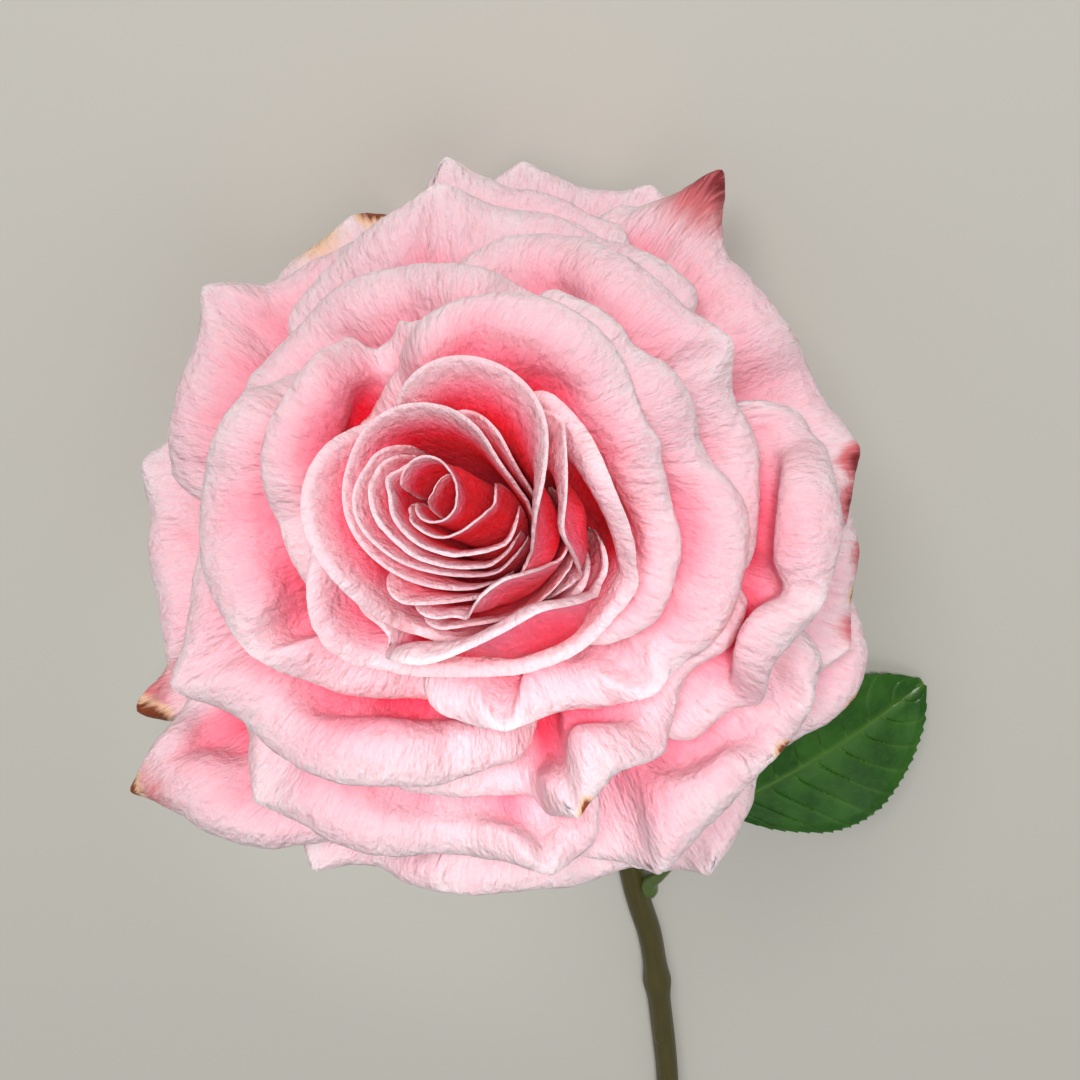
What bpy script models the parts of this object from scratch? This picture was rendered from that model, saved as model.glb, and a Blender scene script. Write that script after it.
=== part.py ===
"""A cut garden rose lying on a table: one open bloom on a short stem with one leaf.

The bloom is built in its own frame, whose +Z is the flower's axis, and is then tipped
so that its outer petals and its stem rest on the table at z = 0. Every petal hangs on
one family of nested curves, which run from the receptacle up and outward like the jets
of a fountain, so petals can be packed from the heart outward without meeting.
"""
from math import cos, pi, radians, sin

import bmesh
import bpy
import numpy as np
from mathutils import Matrix, Vector
from mathutils.bvhtree import BVHTree

MM = 0.001                      # all lengths below are in millimetres

# Driving dimensions
PETAL_THICKNESS = 0.3
PETAL_CLEARANCE = 0.22          # air between a petal and the one outside it
CLEARANCE_GROWTH = 0.022        # extra air for each mm away from the axis
CLAW_HALF_WIDTH = 1.7           # half the width of a petal where it joins the receptacle
SHOULDER_WIDTH = 6.0            # rounded corner beyond each end of a petal's visible edge
SHOULDER_DROP = 12.0
FACET_SAG = 0.23                # most that a flat strip of a petal cuts its curve by
PETAL_ROWS = 6                  # fewest mesh strips up a petal
DEGREES_PER_ROW = 32.0          # width of the petal for which it has one strip
ROLL_STEP = 55.0                # degrees of its rolled margin that one strip turns
LEAST_AIR = 0.28                # between the finished petals
RECEPTACLE_HEIGHT = 24.6        # receptacle above the table
BLOOM_ELEVATION = 45.0          # degrees, flower's axis above the table
BLOOM_HEADING = 15.0            # degrees, flower's axis away from -Y towards +X
BLOOM_ROLL = 10.7               # degrees, turn of the bloom about its own axis
STEM_SIDES = 12

# The nested curves. One row per curve: name value, foot radius, foot height, then the
# curve's angle from the flower's axis at each of the lengths in CURVE_LENGTHS.
CURVE_LENGTHS = (0, 15, 30, 45, 58, 75)
CURVES = (
    (0.00, 0.8, 4.6, (0, 0, 0, -1, -2, -2)),
    (0.25, 2.5, 4.4, (18, 4, 0, 10, 38, 60)),
    (0.50, 4.3, 3.8, (35, 12, 22, 60, 94, 108)),
    (1.00, 7.1, 1.6, (70, 40, 56, 94, 112, 118)),
    (1.30, 8.3, 0.2, (88, 62, 76, 104, 118, 122)),
    (2.20, 10.2, -3.4, (112, 88, 96, 118, 126, 128)),
)

# Petals from the heart outward. Each row gives the first and last angle round the axis at
# which the petal's edge shows, the edge's distance from the axis at even steps between them,
# its height at both ends, the radius and angle of its rolled margin, and its points as
# (angle, how far they stand out).
PETALS = (
    (80, 195, (3.5, 2, 1.5, 1.5, 2.5), (45, 45), 0, 0, ()),
    (-165, 160, (3, 3.5, 3.5, 3, 3.5, 5, 5.5), (50, 50), 0.5, 60, ()),
    (-150, -10, (4, 4.5, 5.5, 6, 7), (50, 50), 0.5, 60, ()),
    (145, 325, (5, 5.5, 6, 7.5, 10.5), (50, 50), 0.6, 70, ()),
    (160, 305, (9, 8, 7.5, 8.5, 10.5), (50, 49), 0.6, 70, ()),
    (155, 305, (10.5, 10.5, 9.5, 9.5, 11), (50, 48), 0.6, 60, ()),
    (-15, 285, (7.5, 9, 11, 12.5, 12, 11, 11.5), (51, 48), 0.9, 50, ()),
    (-30, 70, (7, 8.5, 10, 11, 11.5), (49, 49), 0.6, 60, ()),
    (-110, 120, (14, 12, 11.5, 14, 17.5, 17, 12.5), (50, 52), 0.8, 50, ()),
    (-95, -10, (15, 13.5, 13, 14), (49, 49), 0.4, 70, ()),
    (-95, -30, (16, 14.5, 15.5), (48, 48), 0.4, 70, ()),
    (-35, 30, (16.5, 16, 16.5, 18), (46, 49), 0.4, 70, ()),
    (110, 325, (13, 15, 17, 16.5, 16, 17, 18), (51, 48), 0.9, 100, ()),
    (235, 335, (18.5, 21, 19, 19, 19.5), (47, 48), 0.6, 80, ()),
    (200, 400, (18.5, 23.5, 21.5, 21, 21.5, 21, 19), (47, 49), 1.2, 110, ()),
    (-40, 135, (24.5, 25.5, 26.5, 28.5, 26, 20, 17), (47, 49), 2.6, 135, ()),
    (100, 220, (23.5, 24, 24.5, 22.5, 22.5), (48, 44), 2.5, 130, ()),
    (-95, 60, (27, 29, 30.5, 33.5, 32.5, 30), (38, 45), 4, 130, ((-80, 1.5), (-45, 1))),
    (130, 280, (27, 31.5, 34.5, 31.5, 26, 25.5), (44, 37), 3.5, 130, ((215, 1),)),
    (70, 165, (29, 31.5, 33.5, 34, 32.5), (43, 40), 2.5, 150, ()),
    (-10, 100, (34.5, 36.5, 38.5, 37.5, 33), (37, 39), 2.6, 150, ((30, 3.5),)),
    (185, 275, (36.5, 41, 41, 38, 33), (34, 32), 3, 150, ((210, 5),)),
    (-105, -20, (38.5, 37.5, 38.5, 37, 36.5), (30, 34), 2.6, 150, ((-70, 4.5),)),
    (45, 130, (41.5, 41, 41, 38), (35, 32), 2.2, 150, ((95, 3),)),
    (110, 170, (41, 44, 45.5, 43.5), (28, 29), 2.5, 150, ((140, 4.5),)),
    (-45, 15, (41, 44.5, 48.5, 45.5), (27, 28), 2.5, 145, ((-15, 1),)),
    (65, 115, (43.5, 45, 42.5), (29, 28), 2, 140, ((95, 4.5),)),
    (0, 65, (49, 48.5, 48, 47.5), (25, 21), 2.5, 150, ((10, 2.5), (55, 9.5))),
    (220, 285, (45, 49, 46, 46), (20, 20), 2.6, 150, ((230, 3.5), (280, 3))),
    (-80, -25, (46, 51, 50, 49), (16, 18), 2.2, 150, ((-65, 3), (-40, 1), (-30, 1))),
    (160, 210, (45, 48, 47, 48), (22, 23), 2, 150, ((170, 2.5), (205, 1.5))),
    (55, 95, (49.5, 48.5, 46.5), (14, 17), 1.8, 140, ((65, 3), (85, 3))),
    (-25, 5, (48, 50, 48.5), (15, 19), 1.8, 140, ((-20, 3),)),
    (205, 245, (50, 60, 57.5, 47), (14, 12), 2, 140, ((215, 7),)),
    (235, 305, (51, 52, 51, 50.5), (11, 11), 2, 120, ((240, 5), (295, 1.5))),
    (105, 140, (46, 47.5, 47), (20, 13), 1.5, 140, ((115, 1),)),
    (195, 215, (49, 56, 51), (12, 9), 1.5, 120, ((205, 5),)),
    (-40, -10, (49.5, 54.5, 49.5), (11, 13), 1.8, 120, ()),
    (-65, -45, (52.5, 54, 49.5), (9, 10), 1.5, 120, ((-60, 3),)),
)
END_FALL = 3.5                  # how much lower the ends of a petal's edge are
TIP_REACH = 8.5                 # along the edge, from a point to where it has died away
TIP_FALL = 1.5                  # how much lower a point is than the edge beside it
TIP_SHARPNESS = 1.5

# Sepals: angle round the axis, length, and the angle from the axis at foot and at tip.
SEPALS = (
    (18, 24, 105, 150),
    (90, 13, 92, 96),
    (162, 19, 100, 122),
    (234, 24, 105, 150),
    (306, 21, 140, 168),
)
SEPAL_FOOT = (9.0, -4.4)        # distance from the axis and height
SEPAL_WIDTH = 6.5
SEPAL_TIP_SHARE = 0.12          # width of its tip as a share of its foot's
SEPAL_ROWS = 9
SEPAL_COLUMNS = 5
SEPAL_THICKNESS = 0.8

# The receptacle and hip as (radius, height), from the top of the dome down to the neck.
HIP_PROFILE = (
    (0.9, 3.9), (2.4, 3.7), (4.0, 3.1), (5.6, 2.0), (7.0, 0.6), (8.0, -0.8), (8.6, -2.2),
    (8.7, -3.4), (7.4, -4.5), (5.7, -5.8), (4.9, -7.5), (4.3, -9.4), (3.1, -11.2), (2.5, -12.8),
)
# The stem's middle line from under the hip to the cut end, with the receptacle over x = y = 0.
STEM_ROUTE = (
    (-5, 17.5, 7.5), (-8, 28, 3.9), (-11.5, 42, 2.6), (-16, 68, 2.4), (-21, 99.5, 2.35),
    (-24.5, 115, 2.3), (-27, 135.5, 2.25), (-29, 155.5, 2.2), (-30, 178, 2.15),
)
NECK_RADIUS = 2.35
CUT_END_RADIUS = 2.1
STEM_RINGS = 30                 # between the neck and the cut end
# Swellings of the stem: distance from the neck, extra radius, half-length.
SWELLINGS = ((78.0, 0.5, 4.0), (124.0, 0.45, 3.0))

# The leaf, with the receptacle over x = y = 0. Widths are shares of its half-width.
LEAF_FOOT = (-34.5, 71.5, 10.4)
LEAF_TIP = (-68, 51.5, 0.6)
LEAF_ACROSS = (-0.59, 0.80, 0.05)
LEAF_HALF_WIDTH = 15.5
LEAF_WIDTHS = (
    (0, 0.1), (0.06, 0.34), (0.14, 0.62), (0.28, 0.92), (0.42, 1.0),
    (0.56, 0.96), (0.7, 0.82), (0.82, 0.6), (0.92, 0.36), (1.0, 0.06),
)
LEAF_THICKNESS = 0.6
LEAF_ARCH = 2.0                 # rise of the midrib over the straight line from foot to tip
LEAF_FOLD = 1.6                 # rise of the blade's edges over its midrib
LEAF_ROWS = 13
LEAF_COLUMNS = 9
STALK_ROUTE = (
    (-24, 100.6, 4.4), (-23.6, 96.6, 4.65), (-25.2, 92, 7.0), (-29, 83, 9.4), (-34, 73.5, 10.6), (-38.5, 69, 10.8),
)
STALK_RADII = (1.1, 1.0, 0.85, 0.8, 0.8, 0.5)
STALK_RINGS = 12
STALK_SIDES = 8


# ---------------------------------------------------------------- the nested curves

class Fountain:
    """The nested curves as a grid: every point (distance from axis, height) has a curve
    value, 0 at the heart and over 1 outside, and a length along that curve."""

    LENGTH_STEP = 0.5
    VALUE_STEP = 0.01

    def __init__(self):
        values = [row[0] for row in CURVES]
        self.values = np.arange(0.0, CURVES[-1][0] + 0.001, self.VALUE_STEP)
        self.lengths = np.arange(0.0, CURVE_LENGTHS[-1] + 0.1, self.LENGTH_STEP)
        angles = np.array([np.interp(self.lengths, CURVE_LENGTHS, row[3]) for row in CURVES])
        angles = np.array([np.interp(self.values, values, column) for column in angles.T]).T
        kernel = np.hanning(25)
        kernel /= kernel.sum()
        angles = np.array([np.convolve(np.pad(row, 12, mode="edge"), kernel, "valid") for row in angles])
        slope = np.radians(angles)
        foot_radius = np.interp(self.values, values, [row[1] for row in CURVES])
        foot_height = np.interp(self.values, values, [row[2] for row in CURVES])
        self.radius = foot_radius[:, None] + self.integral(np.sin(slope))
        self.height = foot_height[:, None] + self.integral(np.cos(slope))
        self.angle = angles
        across_r = np.gradient(self.radius, self.VALUE_STEP, axis=0)
        across_z = np.gradient(self.height, self.VALUE_STEP, axis=0)
        self.spacing = across_r * np.cos(slope) - across_z * np.sin(slope)

    def integral(self, rate):
        step = 0.5 * (rate[:, 1:] + rate[:, :-1]) * self.LENGTH_STEP
        return np.concatenate([np.zeros((len(rate), 1)), np.cumsum(step, axis=1)], axis=1)

    def sample(self, grid, value, length):
        i = np.clip(value / self.VALUE_STEP, 0, len(self.values) - 1.001)
        j = np.clip(length / self.LENGTH_STEP, 0, len(self.lengths) - 1.001)
        i0, j0 = i.astype(int), j.astype(int)
        fi, fj = i - i0, j - j0
        return ((1 - fi) * (1 - fj) * grid[i0, j0] + fi * (1 - fj) * grid[i0 + 1, j0]
                + (1 - fi) * fj * grid[i0, j0 + 1] + fi * fj * grid[i0 + 1, j0 + 1])

    def locate(self, radius, height):
        """Curve value and length of the point at this radius and height."""
        miss = (self.radius - radius) ** 2 + (self.height - height) ** 2
        miss[:, self.lengths < 12] += 1e6
        i, j = np.unravel_index(np.argmin(miss), miss.shape)
        slope = radians(self.angle[i, j])
        right, up = radius - self.radius[i, j], height - self.height[i, j]
        along = right * sin(slope) + up * cos(slope)
        outward = right * cos(slope) - up * sin(slope)
        return self.values[i] + outward / self.spacing[i, j], self.lengths[j] + along


FOUNTAIN = Fountain()


# ---------------------------------------------------------------- the petals

def smooth_top(a, b, blend):
    """The larger of two arrays, rounded where they cross, never less than either."""
    return 0.5 * (a + b + np.sqrt((a - b) ** 2 + blend ** 2))


def smooth_through(numbers, way):
    """A smooth curve through evenly spaced numbers, read at shares of its length."""
    before, beyond = 2 * numbers[0] - numbers[1], 2 * numbers[-1] - numbers[-2]
    ends = np.concatenate([[before], numbers, [beyond]])
    place = np.clip(way, 0, 1) * (len(numbers) - 1)
    i = np.minimum(place.astype(int), len(numbers) - 2)
    t = place - i
    a, b, c, d = ends[i], ends[i + 1], ends[i + 2], ends[i + 3]
    return b + 0.5 * t * (c - a + t * (2 * a - 5 * b + 4 * c - d + t * (3 * b - a - 3 * c + d)))


class Rim:
    """The edge of a petal: a smooth curve with points, and a rounded shoulder at each end,
    in angle round the axis, distance from it, height, and drop of the shoulder."""

    SAMPLES = 160
    SHOULDER_SAMPLES = 12

    def __init__(self, start, end, radii, heights, tips):
        way = np.linspace(0, 1, self.SAMPLES)
        angle = start + (end - start) * way
        radius = smooth_through(np.array(radii, float), way)
        height = heights[0] + (heights[1] - heights[0]) * way - END_FALL * np.abs(2 * way - 1) ** 6
        base = radius.copy()
        for tip, stands_out in tips:
            away = np.radians(np.abs(angle - tip)) * base / TIP_REACH
            near = np.clip(1 - away, 0, 1) ** TIP_SHARPNESS
            radius += stands_out * near
            height -= TIP_FALL * near
        track = np.stack([angle, radius, height, np.zeros(self.SAMPLES)], 1)
        way = np.linspace(0, 1, self.SHOULDER_SAMPLES + 1)[1:]
        drop = SHOULDER_DROP * (1 - np.sqrt(1 - 0.96 * way ** 2))
        room = max(0.5 * (345 - end + start), 0)
        before, after = [], []
        for side, last, shoulder in ((-1, track[0], before), (1, track[-1], after)):
            turn = side * min(np.degrees(SHOULDER_WIDTH / last[1]), 35, room)
            shoulder += [(last[0] + turn * w, last[1], last[2], d) for w, d in zip(way, drop)]
        self.track = np.vstack([before[::-1], track, after])
        self.radius = self.track[:, 1].mean()
        around, outward, _, dropped = np.abs(np.diff(self.track, axis=0)).T
        steps = np.radians(around) * self.radius + 0.5 * outward + 0.35 * dropped
        self.run = np.concatenate([[0], np.cumsum(steps)])
        self.tips = [np.interp(tip, self.track[:, 0], self.run) for tip, _ in tips]

    def stations(self, count):
        """Distances along the rim for this many strips, with one at every tip."""
        stops = [0.0] + self.tips + [self.run[-1]]
        parts = [max(1, round(count * (b - a) / self.run[-1])) for a, b in zip(stops, stops[1:])]
        pieces = [np.linspace(a, b, n, endpoint=False) for a, b, n in zip(stops, stops[1:], parts)]
        return np.concatenate(pieces + [[self.run[-1]]])

    def at(self, distance):
        return [np.interp(distance, self.run, self.track[:, k]) for k in range(4)]

    def roll(self, distance):
        """How far the margin's roll is developed: less at a tip and at both ends."""
        full = np.ones_like(distance)
        for tip in self.tips:
            full = np.minimum(full, 1 - 0.75 * np.exp(-((distance - tip) / 3.5) ** 2))
        ends = np.minimum(distance, self.run[-1] - distance) / (0.12 * self.run[-1])
        return full * (0.35 + 0.65 * np.clip(ends, 0, 1))


class Petal:
    """One petal as a surface over (distance along the rim, way up from the foot)."""

    ACROSS = 90                                             # samples of the surface
    UP = 60
    ROUND = 12
    FOOT_CHOICES = (0, -0.08, 0.08, -0.16, 0.16, -0.24, 0.24)   # shares of its width off its middle
    SETTLING = 4                                            # rounds of packing and trimming
    SMOOTHINGS = 12                                         # rounds of it
    SMOOTHING = (0.0625, 0.25, 0.375, 0.25, 0.0625)         # shares of five neighbours in a mean

    def __init__(self, start, end, radii, heights, roll_radius, roll_angle, tips):
        self.rim = Rim(start, end, radii, heights, tips)
        self.distance = np.linspace(0, self.rim.run[-1], self.ACROSS + 1)
        self.angle, self.edge_radius, edge_height, drop = self.rim.at(self.distance)
        rolled = self.rim.roll(self.distance)
        self.roll_radius = roll_radius * rolled
        self.roll_angle = np.radians(roll_angle) * (0.4 + 0.6 * rolled)
        placed = []
        edge = zip(self.edge_radius, edge_height, self.roll_radius, self.roll_angle)
        for radius, height, curl, turn in edge:
            value, length = FOUNTAIN.locate(radius, height)
            slope = np.radians(FOUNTAIN.sample(FOUNTAIN.angle, value, length))
            out, up = self.overhang(slope, curl, turn)
            placed.append(FOUNTAIN.locate(radius - out, height - up))
        self.value, self.straight = np.array(placed).T
        self.drop = drop
        self.straight -= drop
        self.centre = 0.5 * (self.angle[0] + self.angle[-1])
        self.span = self.angle[-1] - self.angle[0]
        foot = FOUNTAIN.sample(FOUNTAIN.radius, self.value.mean(), np.array(0.0))
        self.claw = min(0.8, np.degrees(CLAW_HALF_WIDTH / max(foot, 1.6)) / (0.5 * self.span))
        self.values = np.repeat(self.value[:, None], self.UP + 1, axis=1)

    @staticmethod
    def overhang(slope, curl, turn):
        """How far the rolled margin reaches outward past the straight part, and how much
        higher that outermost point is."""
        widest = np.minimum(turn, pi - slope)
        out = curl * (np.sin(widest) * np.sin(slope) + (1 - np.cos(widest)) * np.cos(slope))
        up = curl * (np.sin(widest) * np.cos(slope) - (1 - np.cos(widest)) * np.sin(slope))
        return out, up

    def spread(self, way):
        """Share of the full width that the petal has at this share of its length."""
        return self.claw + (1 - self.claw) * (1 - (1 - np.clip(way, 0, 1)) ** 2)

    def settle(self, packed):
        """Sets the petal's foot where there is most room, moves the petal outward wherever
        those packed before are in its way, and trims its length so that its edge keeps its
        distance from the axis."""
        middle = self.centre
        choices = []
        for share in self.FOOT_CHOICES:
            self.centre = middle + share * self.span
            pushed = self.pushed_out(packed) - self.value[:, None]
            choices.append((pushed.mean() + pushed.max(), self.centre))
        self.centre = min(choices)[1]
        for _ in range(self.SETTLING):
            self.values = self.pushed_out(packed)
            lean = np.sin(np.radians(FOUNTAIN.sample(FOUNTAIN.angle, self.values[:, -1], self.straight)))
            excess = self.widest() - self.edge_radius
            trim = np.clip((lean - 0.2) / 0.2, 0, 1) * excess / np.maximum(lean, 0.3)
            self.straight = self.straight - np.clip(trim, -4, 4)
        self.values = self.pushed_out(packed)
        packed.add(*self.surface(self.distance, self.UP, self.ROUND))

    def widest(self):
        """Largest distance of the margin from the axis, had it not been dropped."""
        rows = slice(self.UP - 3, None)
        _, value, length = self.surface(self.distance, self.UP, self.ROUND)
        length = length[:, rows] + self.drop[:, None]
        return FOUNTAIN.sample(FOUNTAIN.radius, value[:, rows], length).max(axis=1)

    def pushed_out(self, packed):
        values = np.repeat(self.value[:, None], self.UP + 1, axis=1)
        length = np.linspace(0, 1, self.UP + 1)[None, :] * self.straight[:, None]
        full = (self.straight + self.roll_radius)[:, None]
        angle = self.centre + (self.angle - self.centre)[:, None] * self.spread(length / full)
        need = packed.reach(angle, length)
        blend = 0.5 / np.maximum(FOUNTAIN.sample(FOUNTAIN.spacing, values, length), 3.0)
        pushed = smooth_top(values, need, blend) - values
        for axis in (0, 1) * self.SMOOTHINGS:
            wide = np.pad(pushed, [(2, 2) if k == axis else (0, 0) for k in (0, 1)], mode="edge")
            count = pushed.shape[axis]
            mean = sum(share * np.take(wide, range(i, i + count), axis)
                       for i, share in enumerate(self.SMOOTHING))
            pushed = np.maximum(pushed, mean)
        return values + pushed

    def between(self, numbers, stations):
        return np.interp(stations, self.distance, numbers)

    def surface(self, stations, up, around):
        """Angle, curve value and length over a grid, from the foot to the rolled margin."""
        straight = self.between(self.straight, stations)[:, None]
        curl = self.between(self.roll_radius, stations)[:, None]
        full_turn = self.between(self.roll_angle, stations)[:, None]
        rows = np.linspace(0, self.UP, up + 1)
        by_row = np.array([np.interp(rows, np.arange(self.UP + 1), column) for column in self.values])
        value = np.array([self.between(row, stations) for row in by_row.T]).T
        length = np.linspace(0, 1, up + 1) * straight
        if curl.max() > 0:
            turn = np.linspace(0, 1, around + 1)[1:] * full_turn
            past = straight + curl * np.sin(turn)
            spacing = np.maximum(FOUNTAIN.sample(FOUNTAIN.spacing, value[:, -1:], past), 8.0)
            value = np.hstack([value, value[:, -1:] + curl * (1 - np.cos(turn)) / spacing])
            length = np.hstack([length, past])
        angle_top = self.between(self.angle, stations)[:, None]
        angle = self.centre + (angle_top - self.centre) * self.spread(length / (straight + curl))
        return angle, value, length


class Packing:
    """How far out the petals placed so far reach, over the angle round the axis and the
    length along the nested curves."""

    TURN = 180                                              # steps of 2 degrees
    LENGTHS = 90                                            # steps of 1 mm

    def __init__(self):
        self.outer = np.full((self.TURN, self.LENGTHS), -0.3)

    def reach(self, angle, length):
        spread = np.maximum.reduce([np.roll(self.outer, k, axis=0) for k in range(-3, 4)])
        for _ in range(2):
            edge = np.pad(spread, ((0, 0), (1, 1)), mode="edge")
            spread = np.maximum.reduce([edge[:, :-2], spread, edge[:, 2:]])
        for _ in range(2):
            spread = (np.roll(spread, 1, axis=0) + 2 * spread + np.roll(spread, -1, axis=0)) / 4
            edge = np.pad(spread, ((0, 0), (1, 1)), mode="edge")
            spread = (edge[:, :-2] + 2 * spread + edge[:, 2:]) / 4
        i = np.mod(angle, 360) / 360 * self.TURN
        j = np.clip(length, 0, self.LENGTHS - 1.001)
        i0, j0 = i.astype(int) % self.TURN, j.astype(int)
        i1, fi, fj = (i0 + 1) % self.TURN, i - np.floor(i), j - j0
        found = ((1 - fi) * ((1 - fj) * spread[i0, j0] + fj * spread[i0, j0 + 1])
                 + fi * ((1 - fj) * spread[i1, j0] + fj * spread[i1, j0 + 1]))
        radius = FOUNTAIN.sample(FOUNTAIN.radius, np.maximum(found, 0), length)
        spacing = np.maximum(FOUNTAIN.sample(FOUNTAIN.spacing, np.maximum(found, 0), length), 3.0)
        return found + (PETAL_CLEARANCE + CLEARANCE_GROWTH * radius) / spacing

    def add(self, angle, value, length):
        spacing = np.maximum(FOUNTAIN.sample(FOUNTAIN.spacing, value, length), 3.0)
        reach = value + PETAL_THICKNESS / spacing
        i = np.round(np.mod(angle, 360) / 360 * self.TURN).astype(int) % self.TURN
        j = np.clip(np.round(length), 0, self.LENGTHS - 1).astype(int)
        np.maximum.at(self.outer, (i, j), reach)


def pack_petals():
    """All petals, packed from the heart outward."""
    packed = Packing()
    petals = []
    for row in PETALS:
        petal = Petal(*row)
        petal.settle(packed)
        petals.append(petal)
    return petals


def bloom_points(angle, value, length):
    """Places in the bloom's frame, in mm."""
    radius = FOUNTAIN.sample(FOUNTAIN.radius, value, length)
    height = FOUNTAIN.sample(FOUNTAIN.height, value, length)
    turn = np.radians(angle)
    return np.stack([radius * np.cos(turn), radius * np.sin(turn), height], -1)


# ---------------------------------------------------------------- meshes

def material(name, colour, roughness):
    made = bpy.data.materials.new(name)
    made.use_nodes = True
    shader = made.node_tree.nodes["Principled BSDF"]
    shader.inputs["Base Color"].default_value = (*colour, 1)
    shader.inputs["Roughness"].default_value = roughness
    shader.inputs["Metallic"].default_value = 0.0
    made.diffuse_color = (*colour, 1)
    return made


def place(name, mesh, parent, finish):
    mesh.materials.append(finish)
    mesh.shade_smooth()
    piece = bpy.data.objects.new(name, mesh)
    bpy.context.scene.collection.objects.link(piece)
    piece.parent = parent
    return piece


def grid_faces(columns, rows):
    return [(i * rows + j, i * rows + j + 1, (i + 1) * rows + j + 1, (i + 1) * rows + j)
            for i in range(columns - 1) for j in range(rows - 1)]


def sheet_mesh(name, points):
    """A sheet through a grid of points in mm, its faces turned to the inner side."""
    columns, rows = points.shape[:2]
    mesh = bpy.data.meshes.new(name)
    mesh.from_pydata((points.reshape(-1, 3) * MM).tolist(), [], grid_faces(columns, rows))
    return mesh


def thicken(piece, thickness):
    """Gives the sheet its thickness on its outer side."""
    solid = piece.modifiers.new("thickness", "SOLIDIFY")
    solid.thickness = thickness * MM
    solid.offset = -1
    solid.use_even_offset = False


def outward_normals(points):
    """Unit normals of a petal's grid on its outer side."""
    normals = np.cross(np.gradient(points, axis=0), np.gradient(points, axis=1))
    return normals / np.maximum(np.linalg.norm(normals, axis=2, keepdims=True), 1e-9)


class Stack:
    """The finished petals as solids, to lay the next one against."""

    ROUNDS = 32
    SEARCH = 2.5                                            # mm looked along for a petal in the way
    # Places on a face, as weights of its four corners: its corners, edges and both diagonals.
    SPOTS = ((1, 0, 0, 0), (0.67, 0.33, 0, 0), (0.33, 0.67, 0, 0), (0.67, 0, 0, 0.33), (0.33, 0, 0, 0.67),
             (0.75, 0, 0.25, 0), (0.5, 0, 0.5, 0), (0.25, 0, 0.75, 0), (0, 0.75, 0, 0.25), (0, 0.5, 0, 0.5),
             (0, 0.25, 0, 0.75), (0, 1, 0, 0), (0, 0, 1, 0), (0, 0, 0, 1))

    def __init__(self):
        self.corners = []
        self.faces = []
        self.edges = []                                     # places and outward ways on outer sides

    def add(self, points, rolled):
        outer = points + outward_normals(points) * PETAL_THICKNESS
        for side in (points, outer):
            start = len(self.corners)
            self.corners += side.reshape(-1, 3).tolist()
            self.faces += [[start + k for k in face] for face in self.triangles(*points.shape[:2])]
        ways = self.outward(points, rolled)
        for weights in self.SPOTS[:7]:
            spots, aims = (self.blended(grid, weights).reshape(-1, 3) for grid in (outer, ways))
            self.edges += [(Vector(spot), Vector(aim)) for spot, aim in zip(spots, aims)]
        for side in (points, outer):
            for spots, aims in ((side[:, -1], ways[:, -1]), (side[0], ways[0]), (side[-1], ways[-1])):
                spots = np.vstack([spots, 0.5 * (spots[1:] + spots[:-1])])
                aims = np.vstack([aims, aims[1:]])
                self.edges += [(Vector(spot), Vector(aim)) for spot, aim in zip(spots, aims)]

    def clear(self, points, rolled):
        """The grid with its corners moved outward until no face touches an earlier petal."""
        if not self.faces:
            return points
        tree = BVHTree.FromPolygons(self.corners, self.faces)
        for _ in range(self.ROUNDS):
            ways = self.outward(points, rolled)
            moves = np.zeros(points.shape[:2])
            for weights in self.SPOTS:
                spots, aims = (self.blended(grid, weights) for grid in (points, ways))
                needed = np.array([
                    [self.needed(tree, Vector(spot), Vector(aim)) for spot, aim in zip(*row)]
                    for row in zip(spots, aims)
                ])
                for weight, corner in zip(weights, self.quarters(moves)):
                    if weight > 0:
                        np.maximum(corner, needed, out=corner)
            self.yield_to_edges(points, moves)
            if moves.max() == 0:
                break
            points = points + ways * moves[:, :, None]
        return points

    def yield_to_edges(self, points, moves):
        """Raises the moves of the faces that places on earlier petals lie beyond."""
        rows = points.shape[1]
        faces = self.triangles(*points.shape[:2])
        tree = BVHTree.FromPolygons(points.reshape(-1, 3).tolist(), faces)
        low, high = points.min(axis=(0, 1)) - 1, points.max(axis=(0, 1)) + 1
        for spot, aim in self.edges:
            if all(a < k < b for a, k, b in zip(low, spot, high)):
                for sign, reach in ((1, self.SEARCH), (-1, LEAST_AIR)):
                    _, _, face, distance = tree.ray_cast(spot, -sign * aim, reach)
                    if face is not None:
                        push = LEAST_AIR + sign * distance
                        for corner in faces[face]:
                            place = divmod(corner, rows)
                            moves[place] = max(moves[place], push)

    @staticmethod
    def outward(points, rolled):
        """The way each corner yields: outward, and for the rolled margin as below it."""
        ways = outward_normals(points)
        ways[:, -rolled:] = ways[:, -rolled - 1:-rolled]
        return ways

    @staticmethod
    def triangles(columns, rows):
        """Both ways of cutting every face in two, since either may be used."""
        faces = grid_faces(columns, rows)
        return [cut for a, b, c, d in faces for cut in ((a, b, c), (a, c, d), (a, b, d), (b, c, d))]

    @staticmethod
    def quarters(grid):
        return grid[:-1, :-1], grid[1:, :-1], grid[1:, 1:], grid[:-1, 1:]

    def blended(self, grid, weights):
        return sum(weight * corner for weight, corner in zip(weights, self.quarters(grid)))

    def needed(self, tree, spot, way):
        ahead = tree.ray_cast(spot, way, self.SEARCH)[3]
        if ahead is not None:
            return ahead + LEAST_AIR
        behind = tree.ray_cast(spot, -way, LEAST_AIR)[3]
        return 0 if behind is None else LEAST_AIR - behind


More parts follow.
